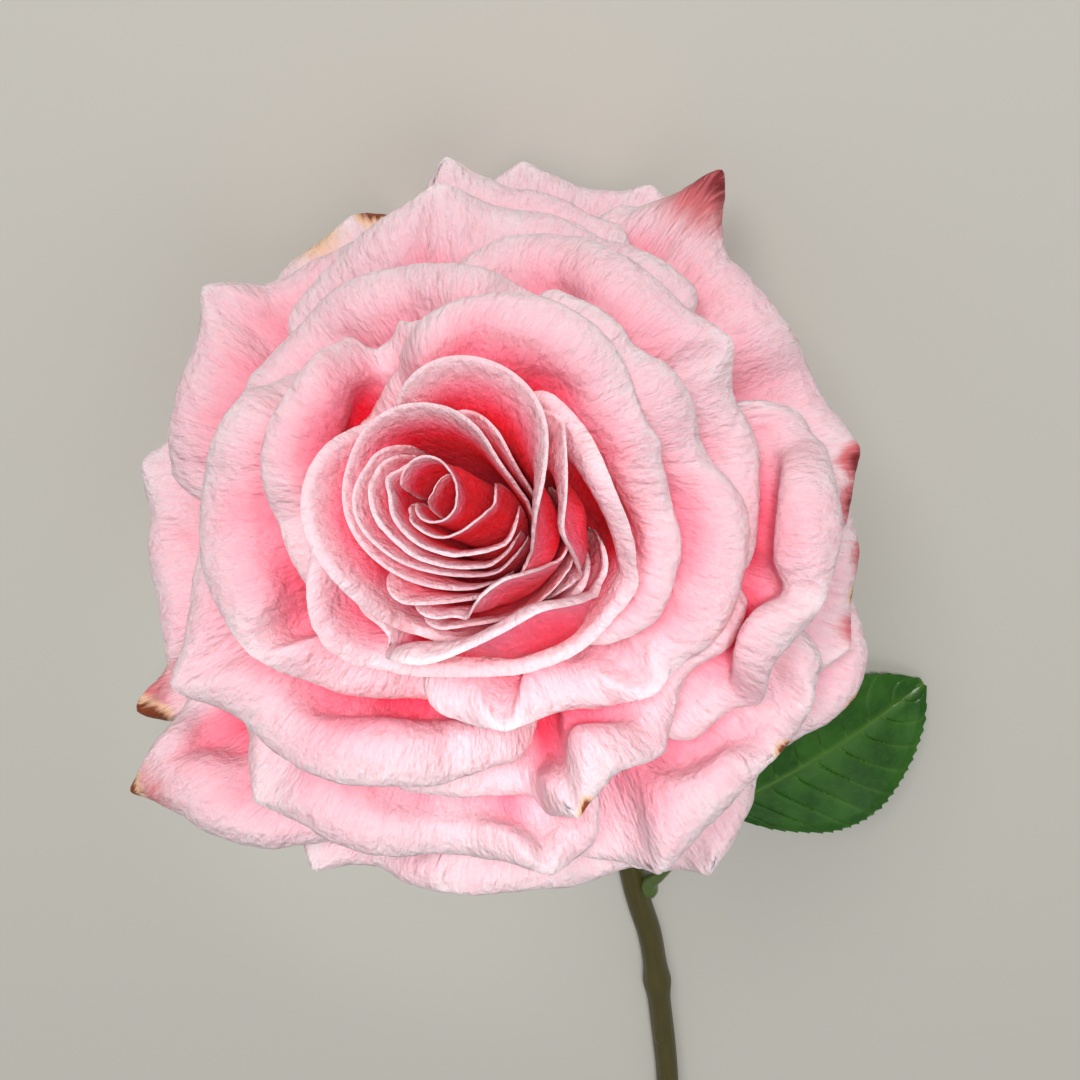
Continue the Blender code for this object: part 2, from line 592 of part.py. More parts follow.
def make_petal(number, petal, stack, parent, finish):
    name = f"petal_{number:02d}"
    strip = 2 * petal.rim.radius * np.arccos(1 - FACET_SAG / petal.rim.radius)
    columns = max(5, round(petal.rim.run[-1] / strip))
    around = max(1, round(np.degrees(petal.roll_angle.max()) / ROLL_STEP))
    rows = max(PETAL_ROWS, round(petal.span / DEGREES_PER_ROW))
    points = bloom_points(*petal.surface(petal.rim.stations(columns), rows, around))
    points = stack.clear(points, around)
    stack.add(points, around)
    piece = place(name, sheet_mesh(name, points), parent, finish)
    thicken(piece, PETAL_THICKNESS)
    return piece


# ---------------------------------------------------------------- stem, sepals and leaf

def bloom_axes():
    """The bloom's X, Y and Z axes as the columns of a matrix."""
    rise, turn, roll = radians(BLOOM_ELEVATION), radians(BLOOM_HEADING), radians(BLOOM_ROLL)
    axis = Vector((cos(rise) * sin(turn), -cos(rise) * cos(turn), sin(rise)))
    level = Vector((-cos(turn), -sin(turn), 0))
    steep = axis.cross(level)
    x = level * cos(roll) - steep * sin(roll)
    return Matrix((x, axis.cross(x), axis)).transposed()


def curve_through(points, count):
    """Places at even steps on a smooth curve through the points."""
    knots = np.array(points, float)
    ends = np.vstack([2 * knots[0] - knots[1], knots, 2 * knots[-1] - knots[-2]])
    track = []
    for a, b, c, d in zip(ends, ends[1:], ends[2:], ends[3:]):
        t = np.linspace(0, 1, 24, endpoint=False)[:, None]
        track.append(0.5 * (2 * b + (c - a) * t + (2 * a - 5 * b + 4 * c - d) * t ** 2
                            + (3 * b - a - 3 * c + d) * t ** 3))
    track = np.vstack(track + [knots[-1:]])
    run = np.concatenate([[0], np.cumsum(np.linalg.norm(np.diff(track, axis=0), axis=1))])
    even = np.linspace(0, run[-1], count)
    return np.stack([np.interp(even, run, track[:, k]) for k in range(track.shape[1])], 1), even


def tube_mesh(name, centres, radii, directions, sides):
    """A closed tube of rings, each square to its direction, with flat ends."""
    shape = bmesh.new()
    rings = []
    for centre, radius, direction in zip(centres, radii, directions):
        along = Vector(direction).normalized()
        side = (Vector((1, 0, 0)) - along * along.x).normalized()
        other = along.cross(side)
        ring = []
        for k in range(sides):
            turn = 2 * pi * k / sides
            spot = Vector(centre) + (cos(turn) * side + sin(turn) * other) * float(radius)
            ring.append(shape.verts.new(spot * MM))
        rings.append(ring)
    for low, high in zip(rings, rings[1:]):
        for k in range(sides):
            shape.faces.new((low[k], low[(k + 1) % sides], high[(k + 1) % sides], high[k]))
    shape.faces.new(rings[0][::-1])
    shape.faces.new(rings[-1])
    mesh = bpy.data.meshes.new(name)
    shape.to_mesh(mesh)
    shape.free()
    return mesh


def make_stem(parent, finish):
    """Receptacle, hip, neck and stem as the one piece that grew."""
    axis = np.array(bloom_axes().col[2])
    base = np.array((0, 0, RECEPTACLE_HEIGHT))
    centres = [base + axis * height for _, height in HIP_PROFILE]
    radii = [radius for radius, _ in HIP_PROFILE]
    directions = [-axis] * len(HIP_PROFILE)
    route, run = curve_through([centres[-1], *STEM_ROUTE], STEM_RINGS + 1)
    ahead = np.gradient(route, axis=0)
    for spot, distance, direction in zip(route[1:], run[1:], ahead[1:]):
        radius = NECK_RADIUS + (CUT_END_RADIUS - NECK_RADIUS) * distance / run[-1]
        for where, extra, half in SWELLINGS:
            radius += extra * np.exp(-((distance - where) / half) ** 2)
        centres.append(spot)
        radii.append(radius)
        directions.append(direction)
    return place("stem", tube_mesh("stem", centres, radii, directions, STEM_SIDES), parent, finish)


def make_sepal(number, angle, length, foot_angle, tip_angle, parent, finish):
    way = np.linspace(0, 1, SEPAL_ROWS)
    slope = np.radians(foot_angle + (tip_angle - foot_angle) * way)
    step = length / (SEPAL_ROWS - 1)
    out, up = (foot + step * np.concatenate([[0], np.cumsum(0.5 * (rate[1:] + rate[:-1]))])
               for foot, rate in zip(SEPAL_FOOT, (np.sin(slope), np.cos(slope))))
    taper = SEPAL_TIP_SHARE + (1 - SEPAL_TIP_SHARE) * (1 - way)
    half = 0.5 * SEPAL_WIDTH * taper * (0.8 + 0.8 * way * (1 - way))
    turn = radians(angle)
    outward = np.array((cos(turn), sin(turn), 0))
    sideways = np.array((-sin(turn), cos(turn), 0))
    upward = np.array((0, 0, 1))
    points = np.array([
        [outward * x + upward * (z + 0.5 * h * a * a) + sideways * h * a for x, z, h in zip(out, up, half)]
        for a in np.linspace(-1, 1, SEPAL_COLUMNS)
    ])
    name = f"sepal_{number}"
    piece = place(name, sheet_mesh(name, points), parent, finish)
    thicken(piece, SEPAL_THICKNESS)
    return piece


def make_leaf(parent, finish):
    """Blade and stalk, joined into the one piece that grew."""
    foot, tip, across = (np.array(v) for v in (LEAF_FOOT, LEAF_TIP, LEAF_ACROSS))
    upward = np.cross(across, tip - foot)
    upward /= np.linalg.norm(upward)
    way = np.linspace(0, 1, LEAF_ROWS)
    width = np.interp(way, *zip(*LEAF_WIDTHS))
    points = np.array([
        [foot + (tip - foot) * t + across * (LEAF_HALF_WIDTH * w * a)
         + upward * (LEAF_ARCH * sin(pi * t) + LEAF_FOLD * w * abs(a) ** 1.5) for t, w in zip(way, width)]
        for a in np.linspace(-1, 1, LEAF_COLUMNS)
    ])
    leaf = place("leaf", sheet_mesh("leaf", points), parent, finish)
    thicken(leaf, LEAF_THICKNESS)
    route, run = curve_through(STALK_ROUTE, STALK_RINGS)
    stops = np.linspace(0, run[-1], len(STALK_RADII))
    radii = np.interp(run, stops, STALK_RADII)
    tube = tube_mesh("stalk", route, radii, np.gradient(route, axis=0), STALK_SIDES)
    stalk = place("leaf_stalk_shape", tube, parent, finish)
    stalk.hide_render = True
    stalk.display_type = "WIRE"
    join = leaf.modifiers.new("stalk", "BOOLEAN")
    join.operation = "UNION"
    join.solver = "EXACT"
    join.object = stalk
    return leaf


# ---------------------------------------------------------------- the whole rose

def clear_scene():
    for thing in list(bpy.data.objects):
        bpy.data.objects.remove(thing)


def make_empty(name, parent=None):
    empty = bpy.data.objects.new(name, None)
    bpy.context.scene.collection.objects.link(empty)
    empty.parent = parent
    return empty


def centre_on_table(root):
    """Moves everything so that the middle of its box is over x = y = 0 and it rests on z = 0."""
    bpy.context.view_layer.update()
    graph = bpy.context.evaluated_depsgraph_get()
    spots = []
    for thing in bpy.data.objects:
        if thing.type == "MESH" and not thing.hide_render:
            solid = thing.evaluated_get(graph)
            spots += [thing.matrix_world @ vertex.co for vertex in solid.data.vertices]
    low = [min(spot[k] for spot in spots) for k in range(3)]
    high = [max(spot[k] for spot in spots) for k in range(3)]
    root.location = (-0.5 * (low[0] + high[0]), -0.5 * (low[1] + high[1]), -low[2])
    bpy.context.view_layer.update()


def build():
    clear_scene()
    root = make_empty("rose")
    bloom = make_empty("bloom", root)
    bloom.matrix_local = Matrix.Translation((0, 0, RECEPTACLE_HEIGHT * MM)) @ bloom_axes().to_4x4()
    pink = material("petal_pink", (0.83, 0.42, 0.48), 0.6)
    green = material("leaf_green", (0.03, 0.12, 0.015), 0.4)
    sepal_green = material("sepal_green", (0.12, 0.22, 0.06), 0.6)
    stem_green = material("stem_green", (0.06, 0.07, 0.02), 0.5)
    stack = Stack()
    for number, petal in enumerate(pack_petals(), 1):
        make_petal(number, petal, stack, bloom, pink)
    for number, (angle, length, foot_angle, tip_angle) in enumerate(SEPALS, 1):
        make_sepal(number, angle, length, foot_angle, tip_angle, bloom, sepal_green)
    make_stem(root, stem_green)
    make_leaf(root, green)
    centre_on_table(root)


build()
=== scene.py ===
"""Looks of the cut garden rose: fine petals, leaf, sepals and stem in place of the plain
solids of the frame, with velvety petals, a veined leaf, soft light and a pale floor.

The petals come from the same nested curves and the same rows of numbers as the solids, so
each lies where its solid lies. They have finer meshes, thinned edges, ruffles and ribs.
"""
from math import cos, pi, radians, sin

import bpy
import numpy as np
from mathutils import Matrix, Vector


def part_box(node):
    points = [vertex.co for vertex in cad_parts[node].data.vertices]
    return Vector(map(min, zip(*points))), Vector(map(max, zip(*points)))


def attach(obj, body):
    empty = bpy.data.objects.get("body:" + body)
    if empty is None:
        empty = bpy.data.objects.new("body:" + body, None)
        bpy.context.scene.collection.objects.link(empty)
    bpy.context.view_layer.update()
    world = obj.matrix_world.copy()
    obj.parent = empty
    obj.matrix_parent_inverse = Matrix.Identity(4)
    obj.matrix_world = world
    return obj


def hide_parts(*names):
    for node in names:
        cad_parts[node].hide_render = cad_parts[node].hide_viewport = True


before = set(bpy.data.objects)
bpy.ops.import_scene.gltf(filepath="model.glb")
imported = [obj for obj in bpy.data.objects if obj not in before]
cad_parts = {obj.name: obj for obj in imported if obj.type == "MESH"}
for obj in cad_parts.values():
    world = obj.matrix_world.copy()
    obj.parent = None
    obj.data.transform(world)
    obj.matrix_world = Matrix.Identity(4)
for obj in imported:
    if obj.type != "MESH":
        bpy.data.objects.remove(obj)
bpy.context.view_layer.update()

MM = 0.001  # all lengths are in millimetres, except in the last section

# Driving dimensions
PETAL_THICKNESS = 0.3
PETAL_CLEARANCE = 0.22  # air between a petal and the one outside it
CLEARANCE_GROWTH = 0.022  # extra air for each mm away from the axis
CLAW_HALF_WIDTH = 1.7  # half the width of a petal where it joins the receptacle
SHOULDER_WIDTH = 6.0  # rounded corner beyond each end of a petal's visible edge
SHOULDER_DROP = 12.0
RECEPTACLE_HEIGHT = 24.6  # receptacle above the table
BLOOM_ELEVATION = 45.0  # degrees, flower's axis above the table
BLOOM_HEADING = 15.0  # degrees, flower's axis away from -Y towards +X
BLOOM_ROLL = 10.7  # degrees, turn of the bloom about its own axis

# The nested curves. One row per curve: name value, foot radius, foot height, then the
# curve's angle from the flower's axis at each of the lengths in CURVE_LENGTHS.
CURVE_LENGTHS = (0, 15, 30, 45, 58, 75)
CURVES = (
    (0.00, 0.8, 4.6, (0, 0, 0, -1, -2, -2)),
    (0.25, 2.5, 4.4, (18, 4, 0, 10, 38, 60)),
    (0.50, 4.3, 3.8, (35, 12, 22, 60, 94, 108)),
    (1.00, 7.1, 1.6, (70, 40, 56, 94, 112, 118)),
    (1.30, 8.3, 0.2, (88, 62, 76, 104, 118, 122)),
    (2.20, 10.2, -3.4, (112, 88, 96, 118, 126, 128)),
)

# Petals from the heart outward. Each row gives the first and last angle round the axis at
# which the petal's edge shows, the edge's distance from the axis at even steps between them,
# its height at both ends, the radius and angle of its rolled margin, and its points as
# (angle, how far they stand out).
PETALS = (
    (80, 195, (3.5, 2, 1.5, 1.5, 2.5), (45, 45), 0, 0, ()),
    (-165, 160, (3, 3.5, 3.5, 3, 3.5, 5, 5.5), (50, 50), 0.5, 60, ()),
    (-150, -10, (4, 4.5, 5.5, 6, 7), (50, 50), 0.5, 60, ()),
    (145, 325, (5, 5.5, 6, 7.5, 10.5), (50, 50), 0.6, 70, ()),
    (160, 305, (9, 8, 7.5, 8.5, 10.5), (50, 49), 0.6, 70, ()),
    (155, 305, (10.5, 10.5, 9.5, 9.5, 11), (50, 48), 0.6, 60, ()),
    (-15, 285, (7.5, 9, 11, 12.5, 12, 11, 11.5), (51, 48), 0.9, 50, ()),
    (-30, 70, (7, 8.5, 10, 11, 11.5), (49, 49), 0.6, 60, ()),
    (-110, 120, (14, 12, 11.5, 14, 17.5, 17, 12.5), (50, 52), 0.8, 50, ()),
    (-95, -10, (15, 13.5, 13, 14), (49, 49), 0.4, 70, ()),
    (-95, -30, (16, 14.5, 15.5), (48, 48), 0.4, 70, ()),
    (-35, 30, (16.5, 16, 16.5, 18), (46, 49), 0.4, 70, ()),
    (110, 325, (13, 15, 17, 16.5, 16, 17, 18), (51, 48), 0.9, 100, ()),
    (235, 335, (18.5, 21, 19, 19, 19.5), (47, 48), 0.6, 80, ()),
    (200, 400, (18.5, 23.5, 21.5, 21, 21.5, 21, 19), (47, 49), 1.2, 110, ()),
    (-40, 135, (24.5, 25.5, 26.5, 28.5, 26, 20, 17), (47, 49), 2.6, 135, ()),
    (100, 220, (23.5, 24, 24.5, 22.5, 22.5), (48, 44), 2.5, 130, ()),
    (-95, 60, (27, 29, 30.5, 33.5, 32.5, 30), (38, 45), 4, 130, ((-80, 1.5), (-45, 1))),
    (130, 280, (27, 31.5, 34.5, 31.5, 26, 25.5), (44, 37), 3.5, 130, ((215, 1),)),
    (70, 165, (29, 31.5, 33.5, 34, 32.5), (43, 40), 2.5, 150, ()),
    (-10, 100, (34.5, 36.5, 38.5, 37.5, 33), (37, 39), 2.6, 150, ((30, 3.5),)),
    (185, 275, (36.5, 41, 41, 38, 33), (34, 32), 3, 150, ((210, 5),)),
    (-105, -20, (38.5, 37.5, 38.5, 37, 36.5), (30, 34), 2.6, 150, ((-70, 4.5),)),
    (45, 130, (41.5, 41, 41, 38), (35, 32), 2.2, 150, ((95, 3),)),
    (110, 170, (41, 44, 45.5, 43.5), (28, 29), 2.5, 150, ((140, 4.5),)),
    (-45, 15, (41, 44.5, 48.5, 45.5), (27, 28), 2.5, 145, ((-15, 1),)),
    (65, 115, (43.5, 45, 42.5), (29, 28), 2, 140, ((95, 4.5),)),
    (0, 65, (49, 48.5, 48, 47.5), (25, 21), 2.5, 150, ((10, 2.5), (55, 9.5))),
    (220, 285, (45, 49, 46, 46), (20, 20), 2.6, 150, ((230, 3.5), (280, 3))),
    (-80, -25, (46, 51, 50, 49), (16, 18), 2.2, 150, ((-65, 3), (-40, 1), (-30, 1))),
    (160, 210, (45, 48, 47, 48), (22, 23), 2, 150, ((170, 2.5), (205, 1.5))),
    (55, 95, (49.5, 48.5, 46.5), (14, 17), 1.8, 140, ((65, 3), (85, 3))),
    (-25, 5, (48, 50, 48.5), (15, 19), 1.8, 140, ((-20, 3),)),
    (205, 245, (50, 60, 57.5, 47), (14, 12), 2, 140, ((215, 7),)),
    (235, 305, (51, 52, 51, 50.5), (11, 11), 2, 120, ((240, 5), (295, 1.5))),
    (105, 140, (46, 47.5, 47), (20, 13), 1.5, 140, ((115, 1),)),
    (195, 215, (49, 56, 51), (12, 9), 1.5, 120, ((205, 5),)),
    (-40, -10, (49.5, 54.5, 49.5), (11, 13), 1.8, 120, ()),
    (-65, -45, (52.5, 54, 49.5), (9, 10), 1.5, 120, ((-60, 3),)),
)
END_FALL = 3.5  # how much lower the ends of a petal's edge are
TIP_REACH = 8.5  # along the edge, from a point to where it has died away
TIP_FALL = 1.5  # how much lower a point is than the edge beside it
TIP_SHARPNESS = 1.5

# Sepals: angle round the axis, length, and the angle from the axis at foot and at tip.
SEPALS = (
    (18, 24, 105, 150),
    (90, 13, 92, 96),
    (162, 19, 100, 122),
    (234, 24, 105, 150),
    (306, 21, 140, 168),
)
SEPAL_FOOT = (9.0, -4.4)  # distance from the axis and height
SEPAL_WIDTH = 6.5
SEPAL_TIP_SHARE = 0.12  # width of its tip as a share of its foot's
SEPAL_THICKNESS = 0.8

# The receptacle and hip as (radius, height), from the top of the dome down to the neck.
HIP_PROFILE = (
    (0.9, 3.9), (2.4, 3.7), (4.0, 3.1), (5.6, 2.0), (7.0, 0.6), (8.0, -0.8), (8.6, -2.2),
    (8.7, -3.4), (7.4, -4.5), (5.7, -5.8), (4.9, -7.5), (4.3, -9.4), (3.1, -11.2), (2.5, -12.8),
)
# The stem's middle line from under the hip to the cut end, with the receptacle over x = y = 0.
STEM_ROUTE = (
    (-5, 17.5, 7.5), (-8, 28, 3.9), (-11.5, 42, 2.6), (-16, 68, 2.4), (-21, 99.5, 2.35),
    (-24.5, 115, 2.3), (-27, 135.5, 2.25), (-29, 155.5, 2.2), (-30, 178, 2.15),
)
NECK_RADIUS = 2.35
CUT_END_RADIUS = 2.1
# Swellings of the stem: distance from the neck, extra radius, half-length.
SWELLINGS = ((78.0, 0.5, 4.0), (124.0, 0.45, 3.0))

# The leaf, with the receptacle over x = y = 0. Widths are shares of its half-width.
LEAF_FOOT = (-34.5, 71.5, 10.4)
LEAF_TIP = (-68, 51.5, 0.6)
LEAF_ACROSS = (-0.59, 0.80, 0.05)
LEAF_HALF_WIDTH = 15.5
LEAF_WIDTHS = (
    (0, 0.1), (0.06, 0.34), (0.14, 0.62), (0.28, 0.92), (0.42, 1.0),
    (0.56, 0.96), (0.7, 0.82), (0.82, 0.6), (0.92, 0.36), (1.0, 0.06),
)
LEAF_THICKNESS = 0.6
LEAF_ARCH = 2.0  # rise of the midrib over the straight line from foot to tip
LEAF_FOLD = 1.6  # rise of the blade's edges over its midrib
STALK_ROUTE = (
    (-24, 100.6, 4.4), (-23.6, 96.6, 4.65), (-25.2, 92, 7.0),
    (-29, 83, 9.4), (-34, 73.5, 10.6), (-38.5, 69, 10.8),
)
STALK_RADII = (1.1, 1.0, 0.85, 0.8, 0.8, 0.5)


# -------------------- the nested curves

BEFORE_LAST = 1.001  # steps back from a grid's count to just before its last step


class Fountain:
    """The nested curves as a grid: every point (distance from axis, height) has a curve
    value, 0 at the heart and over 1 outside, and a length along that curve."""

    LENGTH_STEP = 0.5
    VALUE_STEP = 0.01
    BLURRED = 12  # steps to both sides over which the angles are smoothed
    FOOT = 12  # no petal's edge is at a shorter length

    def __init__(self):
        values = [row[0] for row in CURVES]
        self.values = np.arange(0.0, CURVES[-1][0] + 0.001, self.VALUE_STEP)
        self.lengths = np.arange(0.0, CURVE_LENGTHS[-1] + 0.1, self.LENGTH_STEP)
        angles = np.array([np.interp(self.lengths, CURVE_LENGTHS, row[3]) for row in CURVES])
        angles = np.array([np.interp(self.values, values, column) for column in angles.T]).T
        kernel = np.hanning(2 * self.BLURRED + 1)
        kernel /= kernel.sum()
        padded = [np.pad(row, self.BLURRED, mode="edge") for row in angles]
        angles = np.array([np.convolve(row, kernel, "valid") for row in padded])
        slope = np.radians(angles)
        foot_radius = np.interp(self.values, values, [row[1] for row in CURVES])
        foot_height = np.interp(self.values, values, [row[2] for row in CURVES])
        self.radius = foot_radius[:, None] + self.integral(np.sin(slope))
        self.height = foot_height[:, None] + self.integral(np.cos(slope))
        self.angle = angles
        across_r = np.gradient(self.radius, self.VALUE_STEP, axis=0)
        across_z = np.gradient(self.height, self.VALUE_STEP, axis=0)
        self.spacing = across_r * np.cos(slope) - across_z * np.sin(slope)

    def integral(self, rate):
        step = 0.5 * (rate[:, 1:] + rate[:, :-1]) * self.LENGTH_STEP
        return np.concatenate([np.zeros((len(rate), 1)), np.cumsum(step, axis=1)], axis=1)

    def sample(self, grid, value, length):
        i = np.clip(value / self.VALUE_STEP, 0, len(self.values) - BEFORE_LAST)
        j = np.clip(length / self.LENGTH_STEP, 0, len(self.lengths) - BEFORE_LAST)
        i0, j0 = i.astype(int), j.astype(int)
        fi, fj = i - i0, j - j0
        return ((1 - fi) * (1 - fj) * grid[i0, j0] + fi * (1 - fj) * grid[i0 + 1, j0]
                + (1 - fi) * fj * grid[i0, j0 + 1] + fi * fj * grid[i0 + 1, j0 + 1])

    def spaced(self, value, length, least):
        """The curves' spacing in mm for each curve value, or the least allowed."""
        return np.maximum(self.sample(self.spacing, value, length), least)

    def locate(self, radius, height):
        """Curve value and length of the point at this radius and height."""
        miss = (self.radius - radius) ** 2 + (self.height - height) ** 2
        miss[:, self.lengths < self.FOOT] = np.inf
        i, j = np.unravel_index(np.argmin(miss), miss.shape)
        slope = radians(self.angle[i, j])
        right, up = radius - self.radius[i, j], height - self.height[i, j]
        along = right * sin(slope) + up * cos(slope)
        outward = right * cos(slope) - up * sin(slope)
        return self.values[i] + outward / self.spacing[i, j], self.lengths[j] + along


FOUNTAIN = Fountain()


# -------------------- the petals' surfaces

def smooth_top(a, b, blend):
    """The larger of two arrays, rounded where they cross, never less than either."""
    return 0.5 * (a + b + np.sqrt((a - b) ** 2 + blend ** 2))


def smooth_through(numbers, way):
    """A smooth curve through evenly spaced numbers, read at shares of the way along them."""
    before, beyond = 2 * numbers[0] - numbers[1], 2 * numbers[-1] - numbers[-2]
    ends = np.concatenate([[before], numbers, [beyond]])
    place = np.clip(way, 0, 1) * (len(numbers) - 1)
    i = np.minimum(place.astype(int), len(numbers) - 2)
    t = place - i
    a, b, c, d = ends[i], ends[i + 1], ends[i + 2], ends[i + 3]
    return b + 0.5 * t * (c - a + t * (2 * a - 5 * b + 4 * c - d + t * (3 * b - a - 3 * c + d)))


class Rim:
    """The edge of a petal: a smooth curve with points, and a rounded shoulder at each end,
    in angle round the axis, distance from it, height, and drop of the shoulder."""

    SAMPLES = 160
    SHOULDER_SAMPLES = 12
    SHOULDER_TURN = 35  # most degrees that a shoulder turns round the axis
    WIDEST = 345  # most degrees for the rim with both shoulders
    END_SHARPNESS = 6  # of the edge's fall at both ends
    ROUNDNESS = 0.96  # of a shoulder, 1 where it ends upright
    OUTWARD_SHARE = 0.5  # of its change of radius in the distance along the rim
    DROP_SHARE = 0.35  # of its drop in it
    TIP_UNROLLED = 0.75  # share of the roll that a tip lacks
    TIP_HALF_LENGTH = 3.5
    END_SHARE = 0.12  # of the rim, over which the roll grows from its share at the end
    END_ROLL = 0.35

    def __init__(self, start, end, radii, heights, tips):
        way = np.linspace(0, 1, self.SAMPLES)
        angle = start + (end - start) * way
        radius = smooth_through(np.array(radii, float), way)
        fall = END_FALL * np.abs(2 * way - 1) ** self.END_SHARPNESS
        height = heights[0] + (heights[1] - heights[0]) * way - fall
        base = radius.copy()
        for tip, stands_out in tips:
            away = np.radians(np.abs(angle - tip)) * base / TIP_REACH
            near = np.clip(1 - away, 0, 1) ** TIP_SHARPNESS
            radius += stands_out * near
            height -= TIP_FALL * near
        track = np.stack([angle, radius, height, np.zeros(self.SAMPLES)], 1)
        way = np.linspace(0, 1, self.SHOULDER_SAMPLES + 1)[1:]
        drop = SHOULDER_DROP * (1 - np.sqrt(1 - self.ROUNDNESS * way ** 2))
        room = max(0.5 * (self.WIDEST - end + start), 0)
        before, after = [], []
        for side, last, shoulder in ((-1, track[0], before), (1, track[-1], after)):
            turn = side * min(np.degrees(SHOULDER_WIDTH / last[1]), self.SHOULDER_TURN, room)
            shoulder += [(last[0] + turn * w, last[1], last[2], d) for w, d in zip(way, drop)]
        self.track = np.vstack([before[::-1], track, after])
        self.radius = self.track[:, 1].mean()
        around, outward, _, dropped = np.abs(np.diff(self.track, axis=0)).T
        steps = np.radians(around) * self.radius
        steps = steps + self.OUTWARD_SHARE * outward + self.DROP_SHARE * dropped
        self.run = np.concatenate([[0], np.cumsum(steps)])
        self.tips = [np.interp(tip, self.track[:, 0], self.run) for tip, _ in tips]

    def stations(self, count):
        """Distances along the rim for this many strips, with one at every tip."""
        stops = [0.0] + self.tips + [self.run[-1]]
        parts = [max(1, round(count * (b - a) / self.run[-1])) for a, b in zip(stops, stops[1:])]
        pieces = [np.linspace(a, b, n, endpoint=False) for a, b, n in zip(stops, stops[1:], parts)]
        return np.concatenate(pieces + [[self.run[-1]]])

    def at(self, distance):
        return [np.interp(distance, self.run, self.track[:, k]) for k in range(4)]

    def roll(self, distance):
        """How far the margin's roll is developed: less at a tip and at both ends."""
        full = np.ones_like(distance)
        for tip in self.tips:
            near = np.exp(-((distance - tip) / self.TIP_HALF_LENGTH) ** 2)
            full = np.minimum(full, 1 - self.TIP_UNROLLED * near)
        ends = np.minimum(distance, self.run[-1] - distance) / (self.END_SHARE * self.run[-1])
        return full * (self.END_ROLL + (1 - self.END_ROLL) * np.clip(ends, 0, 1))


